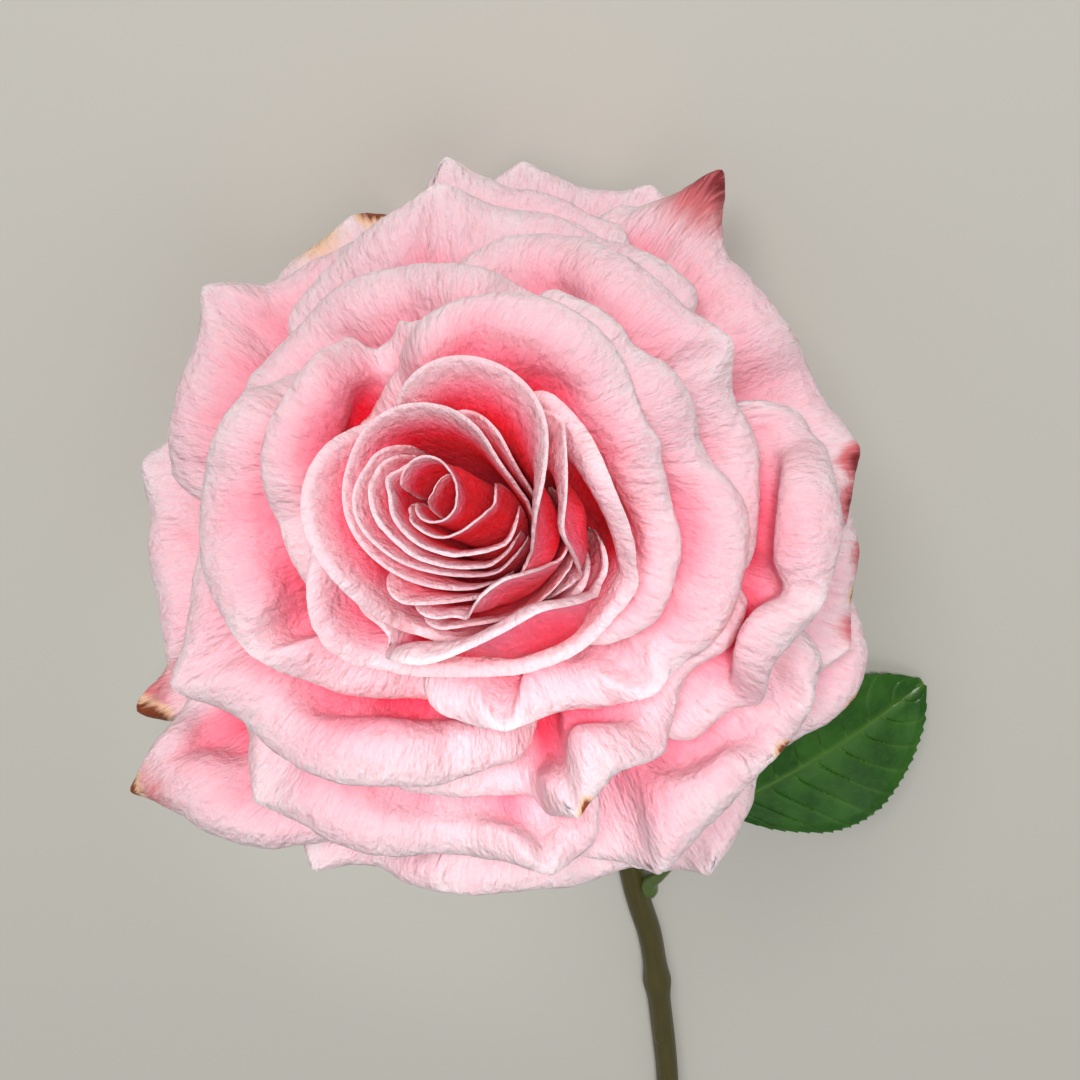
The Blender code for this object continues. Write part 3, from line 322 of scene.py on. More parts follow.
class Petal:
    """One petal as a surface over (distance along the rim, way up from the foot)."""

    ACROSS = 90  # samples of the surface
    UP = 60
    MARGIN = 57  # first sample upward that counts as the margin
    ROUND = 12
    FOOT_CHOICES = (0, -0.08, 0.08, -0.16, 0.16, -0.24, 0.24)  # shares of its width off its middle
    SETTLING = 4  # rounds of packing and trimming
    SMOOTHINGS = 12  # rounds of taking means of five neighbours, with these shares
    SMOOTHING = (0.0625, 0.25, 0.375, 0.25, 0.0625)
    LEAST_ROLL = 0.4  # share of the roll's angle where the roll is undeveloped
    WIDEST_CLAW = 0.8  # share of the petal's width
    LEAST_FOOT_RADIUS = 1.6
    BLEND = 0.5  # rounding where packed petals push it outward
    LEAST_SPACING = 3.0  # of the curves, in mm for each curve value
    LEAST_ROLL_SPACING = 8.0
    LEAN_TO_TRIM = 0.2  # sine of the angle from the axis at which trimming starts
    LEAST_LEAN = 0.3
    MOST_TRIM = 4.0

    def __init__(self, start, end, radii, heights, roll_radius, roll_angle, tips):
        self.rim = Rim(start, end, radii, heights, tips)
        self.distance = np.linspace(0, self.rim.run[-1], self.ACROSS + 1)
        self.angle, self.edge_radius, edge_height, self.drop = self.rim.at(self.distance)
        rolled = self.rim.roll(self.distance)
        self.roll_radius = roll_radius * rolled
        rolled = self.LEAST_ROLL + (1 - self.LEAST_ROLL) * rolled
        self.roll_angle = np.radians(roll_angle) * rolled
        placed = []
        edge = zip(self.edge_radius, edge_height, self.roll_radius, self.roll_angle)
        for radius, height, curl, turn in edge:
            value, length = FOUNTAIN.locate(radius, height)
            slope = np.radians(FOUNTAIN.sample(FOUNTAIN.angle, value, length))
            out, up = self.overhang(slope, curl, turn)
            placed.append(FOUNTAIN.locate(radius - out, height - up))
        self.value, length = np.array(placed).T
        self.straight = length - self.drop
        self.centre = 0.5 * (self.angle[0] + self.angle[-1])
        self.span = self.angle[-1] - self.angle[0]
        foot = FOUNTAIN.sample(FOUNTAIN.radius, self.value.mean(), np.array(0.0))
        claw = np.degrees(CLAW_HALF_WIDTH / max(foot, self.LEAST_FOOT_RADIUS))
        self.claw = min(self.WIDEST_CLAW, claw / (0.5 * self.span))

    @staticmethod
    def overhang(slope, curl, turn):
        """How far the rolled margin reaches outward past the straight part, and how much
        higher that outermost point is."""
        widest = np.minimum(turn, pi - slope)
        out = curl * (np.sin(widest) * np.sin(slope) + (1 - np.cos(widest)) * np.cos(slope))
        up = curl * (np.sin(widest) * np.cos(slope) - (1 - np.cos(widest)) * np.sin(slope))
        return out, up

    def spread(self, way):
        """Share of the full width that the petal has at this share of its length."""
        return self.claw + (1 - self.claw) * (1 - (1 - np.clip(way, 0, 1)) ** 2)

    def settle(self, packed):
        """Sets the petal's foot where there is most room, moves the petal outward wherever
        those packed before are in its way, and trims its length so that its edge keeps its
        distance from the axis."""
        middle = self.centre
        choices = []
        for share in self.FOOT_CHOICES:
            self.centre = middle + share * self.span
            pushed = self.pushed_out(packed) - self.value[:, None]
            choices.append((pushed.mean() + pushed.max(), self.centre))
        self.centre = min(choices)[1]
        for _ in range(self.SETTLING):
            self.values = self.pushed_out(packed)
            angle = FOUNTAIN.sample(FOUNTAIN.angle, self.values[:, -1], self.straight)
            lean = np.sin(np.radians(angle))
            excess = self.widest() - self.edge_radius
            share = np.clip((lean - self.LEAN_TO_TRIM) / self.LEAN_TO_TRIM, 0, 1)
            trim = share * excess / np.maximum(lean, self.LEAST_LEAN)
            self.straight = self.straight - np.clip(trim, -self.MOST_TRIM, self.MOST_TRIM)
        self.values = self.pushed_out(packed)
        packed.add(*self.surface(self.distance, self.UP, self.ROUND))

    def widest(self):
        """Largest distance of the margin from the axis, had it not been dropped."""
        _, value, length = self.surface(self.distance, self.UP, self.ROUND)
        value, length = value[:, self.MARGIN:], length[:, self.MARGIN:] + self.drop[:, None]
        return FOUNTAIN.sample(FOUNTAIN.radius, value, length).max(axis=1)

    def pushed_out(self, packed):
        """Curve values over the petal, with those packed before kept inside it."""
        values = np.repeat(self.value[:, None], self.UP + 1, axis=1)
        length = np.linspace(0, 1, self.UP + 1)[None, :] * self.straight[:, None]
        full = (self.straight + self.roll_radius)[:, None]
        angle = self.centre + (self.angle - self.centre)[:, None] * self.spread(length / full)
        need = packed.reach(angle, length)
        blend = self.BLEND / FOUNTAIN.spaced(values, length, self.LEAST_SPACING)
        pushed = smooth_top(values, need, blend) - values
        for axis in (0, 1) * self.SMOOTHINGS:
            wide = np.pad(pushed, [(2, 2) if k == axis else (0, 0) for k in (0, 1)], mode="edge")
            count = pushed.shape[axis]
            mean = sum(share * np.take(wide, range(i, i + count), axis)
                       for i, share in enumerate(self.SMOOTHING))
            pushed = np.maximum(pushed, mean)
        return values + pushed

    def between(self, numbers, stations):
        return np.interp(stations, self.distance, numbers)

    def surface(self, stations, up, around):
        """Angle, curve value and length over a grid, from the foot to the rolled margin."""
        straight = self.between(self.straight, stations)[:, None]
        curl = self.between(self.roll_radius, stations)[:, None]
        full_turn = self.between(self.roll_angle, stations)[:, None]
        rows = np.linspace(0, self.UP, up + 1)
        by_row = np.array([np.interp(rows, np.arange(self.UP + 1), column) for column in self.values])
        value = np.array([self.between(row, stations) for row in by_row.T]).T
        length = np.linspace(0, 1, up + 1) * straight
        if curl.max() > 0:
            turn = np.linspace(0, 1, around + 1)[1:] * full_turn
            past = straight + curl * np.sin(turn)
            spacing = FOUNTAIN.spaced(value[:, -1:], past, self.LEAST_ROLL_SPACING)
            value = np.hstack([value, value[:, -1:] + curl * (1 - np.cos(turn)) / spacing])
            length = np.hstack([length, past])
        angle_top = self.between(self.angle, stations)[:, None]
        angle = self.centre + (angle_top - self.centre) * self.spread(length / (straight + curl))
        return angle, value, length


class Packing:
    """How far out the petals placed so far reach, over the angle round the axis and the
    length along the nested curves."""

    TURN = 180  # steps of 2 degrees
    LENGTHS = 90  # steps of 1 mm
    EMPTY = -0.3  # curve value where no petal is yet
    AROUND = 3  # steps to both sides that a petal's reach counts for
    ROUNDS = 2  # of spreading it along the curves, and of smoothing it

    def __init__(self):
        self.outer = np.full((self.TURN, self.LENGTHS), self.EMPTY)

    def reach(self, angle, length):
        """The least curve values for another petal at these places."""
        steps = range(-self.AROUND, self.AROUND + 1)
        spread = np.maximum.reduce([np.roll(self.outer, k, axis=0) for k in steps])
        for _ in range(self.ROUNDS):
            edge = np.pad(spread, ((0, 0), (1, 1)), mode="edge")
            spread = np.maximum.reduce([edge[:, :-2], spread, edge[:, 2:]])
        for _ in range(self.ROUNDS):
            spread = (np.roll(spread, 1, axis=0) + 2 * spread + np.roll(spread, -1, axis=0)) / 4
            edge = np.pad(spread, ((0, 0), (1, 1)), mode="edge")
            spread = (edge[:, :-2] + 2 * spread + edge[:, 2:]) / 4
        i = np.mod(angle, 360) / 360 * self.TURN
        j = np.clip(length, 0, self.LENGTHS - BEFORE_LAST)
        i0, j0 = i.astype(int) % self.TURN, j.astype(int)
        i1, fi, fj = (i0 + 1) % self.TURN, i - np.floor(i), j - j0
        found = ((1 - fi) * ((1 - fj) * spread[i0, j0] + fj * spread[i0, j0 + 1])
                 + fi * ((1 - fj) * spread[i1, j0] + fj * spread[i1, j0 + 1]))
        radius = FOUNTAIN.sample(FOUNTAIN.radius, np.maximum(found, 0), length)
        spacing = FOUNTAIN.spaced(np.maximum(found, 0), length, Petal.LEAST_SPACING)
        return found + (PETAL_CLEARANCE + CLEARANCE_GROWTH * radius) / spacing

    def add(self, angle, value, length):
        reach = value + PETAL_THICKNESS / FOUNTAIN.spaced(value, length, Petal.LEAST_SPACING)
        i = np.round(np.mod(angle, 360) / 360 * self.TURN).astype(int) % self.TURN
        j = np.clip(np.round(length), 0, self.LENGTHS - 1).astype(int)
        np.maximum.at(self.outer, (i, j), reach)


def pack_petals():
    """All petals, packed from the heart outward."""
    packed = Packing()
    petals = []
    for row in PETALS:
        petal = Petal(*row)
        petal.settle(packed)
        petals.append(petal)
    return petals


def bloom_points(angle, value, length):
    """Places in the bloom's frame, in mm."""
    radius = FOUNTAIN.sample(FOUNTAIN.radius, value, length)
    height = FOUNTAIN.sample(FOUNTAIN.height, value, length)
    turn = np.radians(angle)
    return np.stack([radius * np.cos(turn), radius * np.sin(turn), height], -1)


def bloom_axes():
    """The bloom's X, Y and Z axes as the columns of a matrix."""
    rise, turn, roll = radians(BLOOM_ELEVATION), radians(BLOOM_HEADING), radians(BLOOM_ROLL)
    axis = Vector((cos(rise) * sin(turn), -cos(rise) * cos(turn), sin(rise)))
    level = Vector((-cos(turn), -sin(turn), 0))
    steep = axis.cross(level)
    x = level * cos(roll) - steep * sin(roll)
    return Matrix((x, axis.cross(x), axis)).transposed()


CURVE_FINENESS = 24  # steps between two points of a curve


def curve_through(points, count):
    """Places at even steps on a smooth curve through the points, and their distances along it."""
    knots = np.array(points, float)
    ends = np.vstack([2 * knots[0] - knots[1], knots, 2 * knots[-1] - knots[-2]])
    track = []
    for a, b, c, d in zip(ends, ends[1:], ends[2:], ends[3:]):
        t = np.linspace(0, 1, CURVE_FINENESS, endpoint=False)[:, None]
        track.append(0.5 * (2 * b + (c - a) * t + (2 * a - 5 * b + 4 * c - d) * t ** 2
                            + (3 * b - a - 3 * c + d) * t ** 3))
    track = np.vstack(track + [knots[-1:]])
    run = np.concatenate([[0], np.cumsum(np.linalg.norm(np.diff(track, axis=0), axis=1))])
    even = np.linspace(0, run[-1], count)
    return np.stack([np.interp(even, run, track[:, k]) for k in range(track.shape[1])], 1), even


def outward_normals(points):
    """Unit normals of a petal's grid on its outer side."""
    normals = np.cross(np.gradient(points, axis=0), np.gradient(points, axis=1))
    return normals / np.maximum(np.linalg.norm(normals, axis=2, keepdims=True), 1e-9)


def grid_faces(columns, rows):
    return [(i * rows + j, i * rows + j + 1, (i + 1) * rows + j + 1, (i + 1) * rows + j)
            for i in range(columns - 1) for j in range(rows - 1)]


# -------------------- meshes

BLOOM = np.array(bloom_axes())
RECEPTACLE = np.array((0, 0, RECEPTACLE_HEIGHT))


def from_bloom(points):
    """From the bloom's frame to the rose's own, both in mm."""
    return points @ BLOOM.T + RECEPTACLE


def add_object(name, data):
    made = bpy.data.objects.new(name, data)
    bpy.context.scene.collection.objects.link(made)
    return made


def add_mesh(name, points, faces, attributes):
    """A smooth mesh from points in the rose's own frame, in mm, with numbers per point."""
    mesh = bpy.data.meshes.new(name)
    mesh.from_pydata((points * MM).tolist(), [], faces)
    for label, numbers in attributes.items():
        layer = mesh.attributes.new(label, "FLOAT", "POINT")
        layer.data.foreach_set("value", np.ascontiguousarray(numbers, np.float32))
    mesh.shade_smooth()
    mesh.update()
    return add_object(name, mesh)


def crease(piece, groups):
    """Makes the edges within each group of points sharp. Group 0 stays smooth."""
    mesh = piece.data
    ends = np.empty(2 * len(mesh.edges), int)
    mesh.edges.foreach_get("vertices", ends)
    start, end = groups.ravel()[ends.reshape(-1, 2)].T
    layer = mesh.attributes.new("sharp_edge", "BOOLEAN", "EDGE")
    layer.data.foreach_set("value", (start == end) & (start > 0))


def shell_faces(columns, rows):
    """Faces of a closed shell between two grids of points, the inner grid first."""
    inner = grid_faces(columns, rows)
    size = columns * rows
    outer = [tuple(size + k for k in reversed(face)) for face in inner]
    grid = np.arange(size).reshape(columns, rows)
    border = np.concatenate([grid[:, 0], grid[-1, 1:], grid[-2::-1, -1], grid[0, -2:0:-1]]).tolist()
    wall = [(b, a, a + size, b + size) for a, b in zip(border, border[1:] + border[:1])]
    return inner + outer + wall


def shell(inner, thickness, attributes):
    """Points, faces and numbers per point of a closed shell, between a grid of points and
    a second one that lies a thickness away on its outer side, where "under" is 1."""
    outer = inner + outward_normals(inner) * thickness[:, :, None]
    points = np.vstack([inner.reshape(-1, 3), outer.reshape(-1, 3)])
    size = inner.shape[:2]
    numbers = {label: np.tile(np.broadcast_to(grid, size).ravel(), 2)
               for label, grid in attributes.items()}
    numbers["under"] = np.repeat((0.0, 1.0), len(points) // 2)
    return points, shell_faces(*size), numbers


def thickening(edge, thin, full, taper):
    """Thickness at each distance from the edge, full once it is a taper away."""
    return thin + (full - thin) * np.clip(edge / taper, 0, 1)


def ring_faces(rings, around):
    """Faces of a tube from rings of points, with both ends closed."""
    faces = []
    for i in range(0, (rings - 1) * around, around):
        corners = [(i + k, i + (k + 1) % around) for k in range(around)]
        faces += [(a, b, b + around, a + around) for a, b in corners]
    start = tuple(range(around))[::-1]
    end = tuple((rings - 1) * around + k for k in range(around))
    return faces + [start, end]


def tube_points(centres, radii, directions, around):
    """Rings of points, each square to its direction, as rings x around x 3."""
    turn = 2 * pi * np.arange(around)[:, None] / around
    rings = []
    for centre, radius, direction in zip(centres, radii, directions):
        direction = Vector(direction).normalized()
        side = (Vector((1, 0, 0)) - direction * direction.x).normalized()
        other = np.array(direction.cross(side))
        spoke = np.cos(turn) * np.array(side) + np.sin(turn) * other
        rings.append(np.array(centre) + radius[:, None] * spoke)
    return np.array(rings)


# -------------------- petals

PETAL_COLUMN = 0.62  # between places along a petal's edge
PETAL_ROW = 1.1  # between places up a petal
ROLL_ROWS = 14
EDGE_THICKNESS = 0.14  # a petal's thickness at its edge
EDGE_TAPER = 5.0  # over which the edge grows to full thickness

RUFFLE_GROWTH = 0.0045  # height of the ruffles for each mm away from the axis
RUFFLE_LENGTHS = (23.0, 13.0, 6.1)
RUFFLE_REACH = 11.0  # from the edge, over which the ruffles die away
RIB = 0.035
RIB_LENGTH = 2.1
RIB_REACH = 14.0
SWAY_ALONG = (1.2, 9.0)  # of the ribs, along the edge: radians, and length of a wave
SWAY_INWARD = (0.6, 3.0)  # and inward: radians, and length of a radian of the wave

# How deep under its edge a petal is crimson, by its edge's distance from the axis.
PETAL_DEPTHS = ((0, 6), (6, 9), (16, 14), (30, 23), (45, 32), (60, 38))
HEART_RADIUS = 30.0  # petals whose edges lie this far out have no part in the heart
FIBRE_SHIFT = 100.0  # most that a petal's fibres are moved along its edge

# Dried and reddened places: petal, angle round the axis, distance in from the edge and
# radius in mm, and strength.
DRIED = (
    (36, 111, 0, 3.0, 1.0),
    (36, 122, 1, 5.0, 0.45),
    (34, 215, 0, 3.0, 0.9),
    (37, 206, 0, 3.5, 1.0),
    (23, -68, 0, 1.8, 0.9),
    (30, -38, 0, 1.8, 0.8),
    (38, -27, 0, 2.0, 0.8),
    (25, 166, 0, 1.6, 0.7),
    (33, -12, 0, 2.0, 0.8),
)
REDDENED = (
    (28, 55, 0, 9.0, 1.0),
    (28, 8, 0, 3.5, 1.1),
    (28, 2, 1, 3.5, 1.0),
    (33, -6, 0, 3.0, 0.8),
    (33, -17, 0, 3.0, 0.6),
    (34, 217, 1, 7.0, 0.5),
    (37, 203, 0, 7.0, 0.6),
    (31, 206, 0, 4.0, 0.4),
)
PATCH_FADE = 1.3  # radii from a patch's middle at which it ends


def petal_relief(along, edge, radius, random):
    """Ruffles and ribs near the edge, as heights on the petal's outer side."""
    height = RUFFLE_GROWTH * radius * np.exp(-(edge / RUFFLE_REACH) ** 2)
    wave = sum(np.sin(2 * pi * along / length + random.uniform(0, 2 * pi)) * length
               for length in RUFFLE_LENGTHS) / RUFFLE_LENGTHS[0]
    sway = SWAY_ALONG[0] * np.sin(2 * pi * along / SWAY_ALONG[1] + random.uniform(0, 6))
    sway = sway + SWAY_INWARD[0] * np.sin(edge / SWAY_INWARD[1] + random.uniform(0, 6))
    ribs = np.sin(2 * pi * along / RIB_LENGTH + sway) * np.exp(-(edge / RIB_REACH) ** 2)
    return height * wave + RIB * ribs


def patches(table, number, petal, along, edge):
    """How strongly the marks of a table show at each place of a petal."""
    shown = np.zeros_like(edge)
    for which, angle, inward, radius, strength in table:
        if which == number:
            place = np.interp(angle, petal.rim.track[:, 0], petal.rim.run)
            away = np.hypot(along - place, edge - inward) / radius
            shown = np.maximum(shown, strength * np.clip(PATCH_FADE - away, 0, 1))
    return shown


def make_petal(number, petal):
    random = np.random.default_rng(number)
    stations = petal.rim.stations(round(petal.rim.run[-1] / PETAL_COLUMN))
    rows = round(petal.straight.mean() / PETAL_ROW)
    around = ROLL_ROWS if petal.roll_radius.max() > 0 else 1
    points = bloom_points(*petal.surface(stations, rows, around))
    steps = np.linalg.norm(np.diff(points, axis=1), axis=2)
    edge = np.cumsum(np.pad(steps, ((0, 0), (0, 1)))[:, ::-1], axis=1)[:, ::-1]
    along = stations[:, None]
    relief = petal_relief(along, edge, petal.rim.radius, random)
    points = points + outward_normals(points) * relief[:, :, None]
    thickness = thickening(edge, EDGE_THICKNESS, PETAL_THICKNESS, EDGE_TAPER)
    points, faces, numbers = shell(points, thickness, {
        "edge": edge,
        "along": along + FIBRE_SHIFT * random.uniform(),
        "depth": edge / np.interp(petal.rim.radius, *zip(*PETAL_DEPTHS)),
        "dried": patches(DRIED, number, petal, along, edge),
        "reddened": patches(REDDENED, number, petal, along, edge),
        "tone": random.uniform(),
        "heart": np.clip(1 - petal.rim.radius / HEART_RADIUS, 0, 1),
    })
    piece = add_mesh(f"petal_{number:02d}_fine", from_bloom(points), faces, numbers)
    groups = np.zeros((2, *edge.shape), int)
    groups[:, :, -1] = (1,), (2,)
    crease(piece, groups)
    return piece


# -------------------- stem

STEM_SIDES = 48
HIP_RINGS = 60
STEM_RINGS = 260
CUT_RINGS = 5
CUT_RING = 0.85  # radius of the cut end's first ring as a share of the stem's
# Ridges of the stem: share of its radius, number round it, and mm for a radian of twist.
RIDGES = ((0.012, 5, 18.0), (0.006, 2, 2.7))
# Bumps on the stem: distance from the neck, angle round it, height, half-length.
BUMPS = (
    (60, 0.4, 0.5, 1.2), (71, 3.9, 0.35, 1.0), (100, 2.2, 0.45, 1.2), (139, 5.2, 0.4, 1.0),
    (150, 1.1, 0.3, 0.9),
)
BUMP_ASPECT = 0.8  # width of a bump as a share of its length


def stem_radii(distance, whole, turn):
    """The stem's radius at each turn round it, at a distance from the neck."""
    radius = NECK_RADIUS + (CUT_END_RADIUS - NECK_RADIUS) * distance / whole
    for where, extra, half in SWELLINGS:
        radius += extra * np.exp(-((distance - where) / half) ** 2)
    ring = np.ones_like(turn)
    for share, count, twist in RIDGES:
        ring += share * np.sin(count * turn + distance / twist)
    ring *= radius
    for where, angle, height, half in BUMPS:
        sideways = np.angle(np.exp(1j * (turn - angle))) * radius
        away = np.hypot((distance - where) / half, sideways / (BUMP_ASPECT * half))
        ring += height * np.exp(-away ** 2)
    return ring


def make_stem():
    """The hip, the stem below it and the cut end as one tube."""
    axis = BLOOM[:, 2]
    hip, _ = curve_through(HIP_PROFILE, HIP_RINGS)
    centres = [RECEPTACLE + axis * height for _, height in hip]
    route, run = curve_through([centres[-1], *STEM_ROUTE], STEM_RINGS + 1)
    turn = 2 * pi * np.arange(STEM_SIDES) / STEM_SIDES
    radii = [np.full(STEM_SIDES, radius) for radius, _ in hip]
    radii += [stem_radii(distance, run[-1], turn) for distance in run[1:]]
    directions = [-axis] * HIP_RINGS + list(np.gradient(route, axis=0)[1:])
    rings = tube_points(centres + list(route[1:]), radii, directions, STEM_SIDES)
    middle = rings[-1].mean(axis=0)
    shares = np.linspace(CUT_RING, 0.0, CUT_RINGS + 1)[:-1]
    rings = np.concatenate([rings, [middle + (rings[-1] - middle) * share for share in shares]])
    per_ring = {
        "length": (np.zeros(HIP_RINGS), run[1:], np.full(CUT_RINGS, run[-1])),
        "cut": (np.zeros(HIP_RINGS + STEM_RINGS), 1 - shares),
        "hip": (np.ones(HIP_RINGS), np.zeros(STEM_RINGS + CUT_RINGS)),
    }
    numbers = {label: np.repeat(np.concatenate(parts), STEM_SIDES)
               for label, parts in per_ring.items()}
    numbers["turn"] = np.tile(turn, len(rings))
    return add_mesh("stem_fine", rings.reshape(-1, 3), ring_faces(len(rings), STEM_SIDES), numbers)


# -------------------- sepals

SEPAL_FINE = (25, 61)  # columns and rows
SEPAL_SEED = 100  # added to a sepal's number
SEPAL_FULLNESS = (0.8, 0.8)  # its width at both ends, and what it gains between them
SEPAL_POINT = (0.1, 0.6)  # share of its length at the tip that narrows, and by how much
SEPAL_FRILL = (0.05, 2.3)  # share of its width, and length of a wave
SEPAL_CUP = 0.5  # rise of its edges as a share of its half-width
SEPAL_RIB = (0.25, 0.12)  # height, and width as a share of its half-width
SEPAL_EDGE = (0.25, 1.5)  # thickness at its edge, and how far in it is full


def make_sepal(number, angle, length, foot_angle, tip_angle):
    random = np.random.default_rng(SEPAL_SEED + number)
    columns, rows = SEPAL_FINE
    way = np.linspace(0, 1, rows)
    across = np.linspace(-1, 1, columns)[:, None]
    slope = np.radians(foot_angle + (tip_angle - foot_angle) * way)
    step = length / (rows - 1)
    out, up = (foot + step * np.concatenate([[0], np.cumsum(0.5 * (rate[1:] + rate[:-1]))])
               for foot, rate in zip(SEPAL_FOOT, (np.sin(slope), np.cos(slope))))
    taper = SEPAL_TIP_SHARE + (1 - SEPAL_TIP_SHARE) * (1 - way)
    half = 0.5 * SEPAL_WIDTH * taper * (SEPAL_FULLNESS[0] + SEPAL_FULLNESS[1] * way * (1 - way))
    reach, loss = SEPAL_POINT
    half = half * (1 - loss * np.clip((way - (1 - reach)) / reach, 0, 1))
    frill, wave = SEPAL_FRILL
    waves = np.sin(2 * pi * way * length / wave + random.uniform(0, 6))
    width = half * across * (1 + frill * waves * np.abs(across) ** 3)
    rib, rib_width = SEPAL_RIB
    lift = SEPAL_CUP * half * across ** 2 + rib * np.exp(-(across / rib_width) ** 2)
    turn = radians(angle)
    outward = np.array((cos(turn), sin(turn), 0))
    sideways = np.array((-sin(turn), cos(turn), 0))
    upward = np.array((0, 0, 1))
    points = (outward * out[None, :, None] + upward * (up[None, :, None] + lift[:, :, None])
              + sideways * width[:, :, None])
    edge = (1 - np.abs(across)) * half
    thin, inward = SEPAL_EDGE
    thickness = thickening(edge, thin, SEPAL_THICKNESS, inward)
    points, faces, numbers = shell(points, thickness, {
        "edge": edge,
        "along": half * across,
        "way": way,
    })
    return add_mesh(f"sepal_{number}_fine", from_bloom(points), faces, numbers)


# -------------------- leaf

LEAF_FINE = (81, 161)  # columns and rows
LEAF_OUTLINE_STEPS = 200
LEAF_TEETH = 26
TOOTH = (0.55, 1.6, 0.4)  # height, how much it leans to the tip, and share of it inward
TOOTH_ENDS = (8, 12)  # teeth grow over 1/8 of the leaf's length, and end over 1/12
TOOTH_SHARPNESS = 12  # how close to the edge the teeth stay
LEAF_VEINS = 9  # on each side of the midrib
VEIN_BOW = (0.16, 1.3)  # how far a vein leans to the tip, and how much it curves
VEIN_WIDTH = 0.07  # share of the distance between two veins
VEIN_FADE = 1.15  # share of the half-width at which the veins are gone
MIDRIB = (0.15, 0.045)  # depth, and width as a share of the leaf's half-width
MIDRIB_THICKNESS = 0.5
MIDRIB_SHOWN = 1.2  # how strongly it shows beside the veins
QUILT = (0.28, 6, 1.05)  # rise between veins, how soon it is full, and where it ends
LEAF_WAVE = (0.35, 2.2, 0.2)  # height, waves along the leaf, and their slant
LEAF_EDGE = (0.25, 2.0)  # thickness at its edge, and how far in it is full
STALK_FINE = (90, 20)  # rings and sides
# Extra radius of the stalk's foot, which clasps the stem, by distance from its end.
STALK_FOOT = ((0, -0.85), (0.5, -0.2), (1.5, 0.35), (3.0, 0.5), (6.0, 0.2), (10.0, 0.0))


def vein_field(way, across):
    """1 on a side vein of the leaf and 0 between two."""
    lean, curve = VEIN_BOW
    bow = way - lean * np.abs(across) ** curve
    place = (bow * LEAF_VEINS + 0.5 * (across > 0)) % 1
    fade = np.clip(VEIN_FADE - np.abs(across), 0, 1) ** 0.5
    return np.exp(-((place - 0.5) / VEIN_WIDTH) ** 2) * fade


def leaf_teeth(way):
    """How far the leaf's edge stands out at each share of its length, in half-widths."""
    height, lean, inward = TOOTH
    start, end = TOOTH_ENDS
    teeth = (way * LEAF_TEETH % 1) ** lean - inward
    return height / LEAF_HALF_WIDTH * teeth * np.clip(way * start, 0, 1) * np.clip((1 - way) * end, 0, 1)


def make_stalk():
    """Points and faces of the leaf's stalk, from its foot on the stem to under the blade."""
    rings, around = STALK_FINE
    route, run = curve_through(STALK_ROUTE, rings)
    stops = np.linspace(0, run[-1], len(STALK_RADII))
    radii = np.interp(run, stops, STALK_RADII) + np.interp(run, *zip(*STALK_FOOT))
    radii = [np.full(around, radius) for radius in radii]
    points = tube_points(route, radii, np.gradient(route, axis=0), around)
    return points.reshape(-1, 3), ring_faces(rings, around)


def make_leaf():
    foot, tip, sideways = (np.array(v, float) for v in (LEAF_FOOT, LEAF_TIP, LEAF_ACROSS))
    upward = np.cross(sideways, tip - foot)
    upward /= np.linalg.norm(upward)
    columns, rows = LEAF_FINE
    way = np.linspace(0, 1, rows)
    across = np.linspace(-1, 1, columns)[:, None]
    away = np.abs(across)
    outline, _ = curve_through(LEAF_WIDTHS, LEAF_OUTLINE_STEPS)
    width = np.interp(way, *outline.T)
    reach = width + leaf_teeth(way) * away ** TOOTH_SHARPNESS
    veins = vein_field(way[None, :], across)
    groove, groove_width = MIDRIB
    midrib = np.exp(-(across * width / groove_width) ** 2)
    quilt, soon, end = QUILT
    quilt = quilt * (1 - veins) * np.clip(away * soon, 0, 1) * np.clip(end - away, 0, 1) ** 0.5
    wave, waves, slant = LEAF_WAVE
    rise = (LEAF_ARCH * np.sin(pi * way) + LEAF_FOLD * width * away ** 1.5 + quilt - groove * midrib
            + wave * np.sin(2 * pi * (way * waves + slant * across)) * away ** 2)
    points = (foot + (tip - foot) * way[None, :, None]
              + sideways * (LEAF_HALF_WIDTH * reach * across)[:, :, None]
              + upward * rise[:, :, None])
    thin, inward = LEAF_EDGE
    thickness = thickening((1 - away) * width * LEAF_HALF_WIDTH, thin, LEAF_THICKNESS, inward)
    thickness = thickness + MIDRIB_THICKNESS * midrib * (1 - way)
    blade, faces, numbers = shell(points, thickness, {
        "vein": np.maximum(veins, MIDRIB_SHOWN * midrib),
        "stalk": 0,
    })
    numbers["under"] = 1 - numbers["under"]  # the second grid is the blade's upper side
    stalk, stalk_faces = make_stalk()
    faces += [tuple(len(blade) + k for k in face) for face in stalk_faces]
    for label, number in (("vein", 1), ("stalk", 1), ("under", 0)):
        numbers[label] = np.append(numbers[label], np.full(len(stalk), number))
    return add_mesh("leaf_fine", np.vstack([blade, stalk]), faces, numbers)


# -------------------- materials

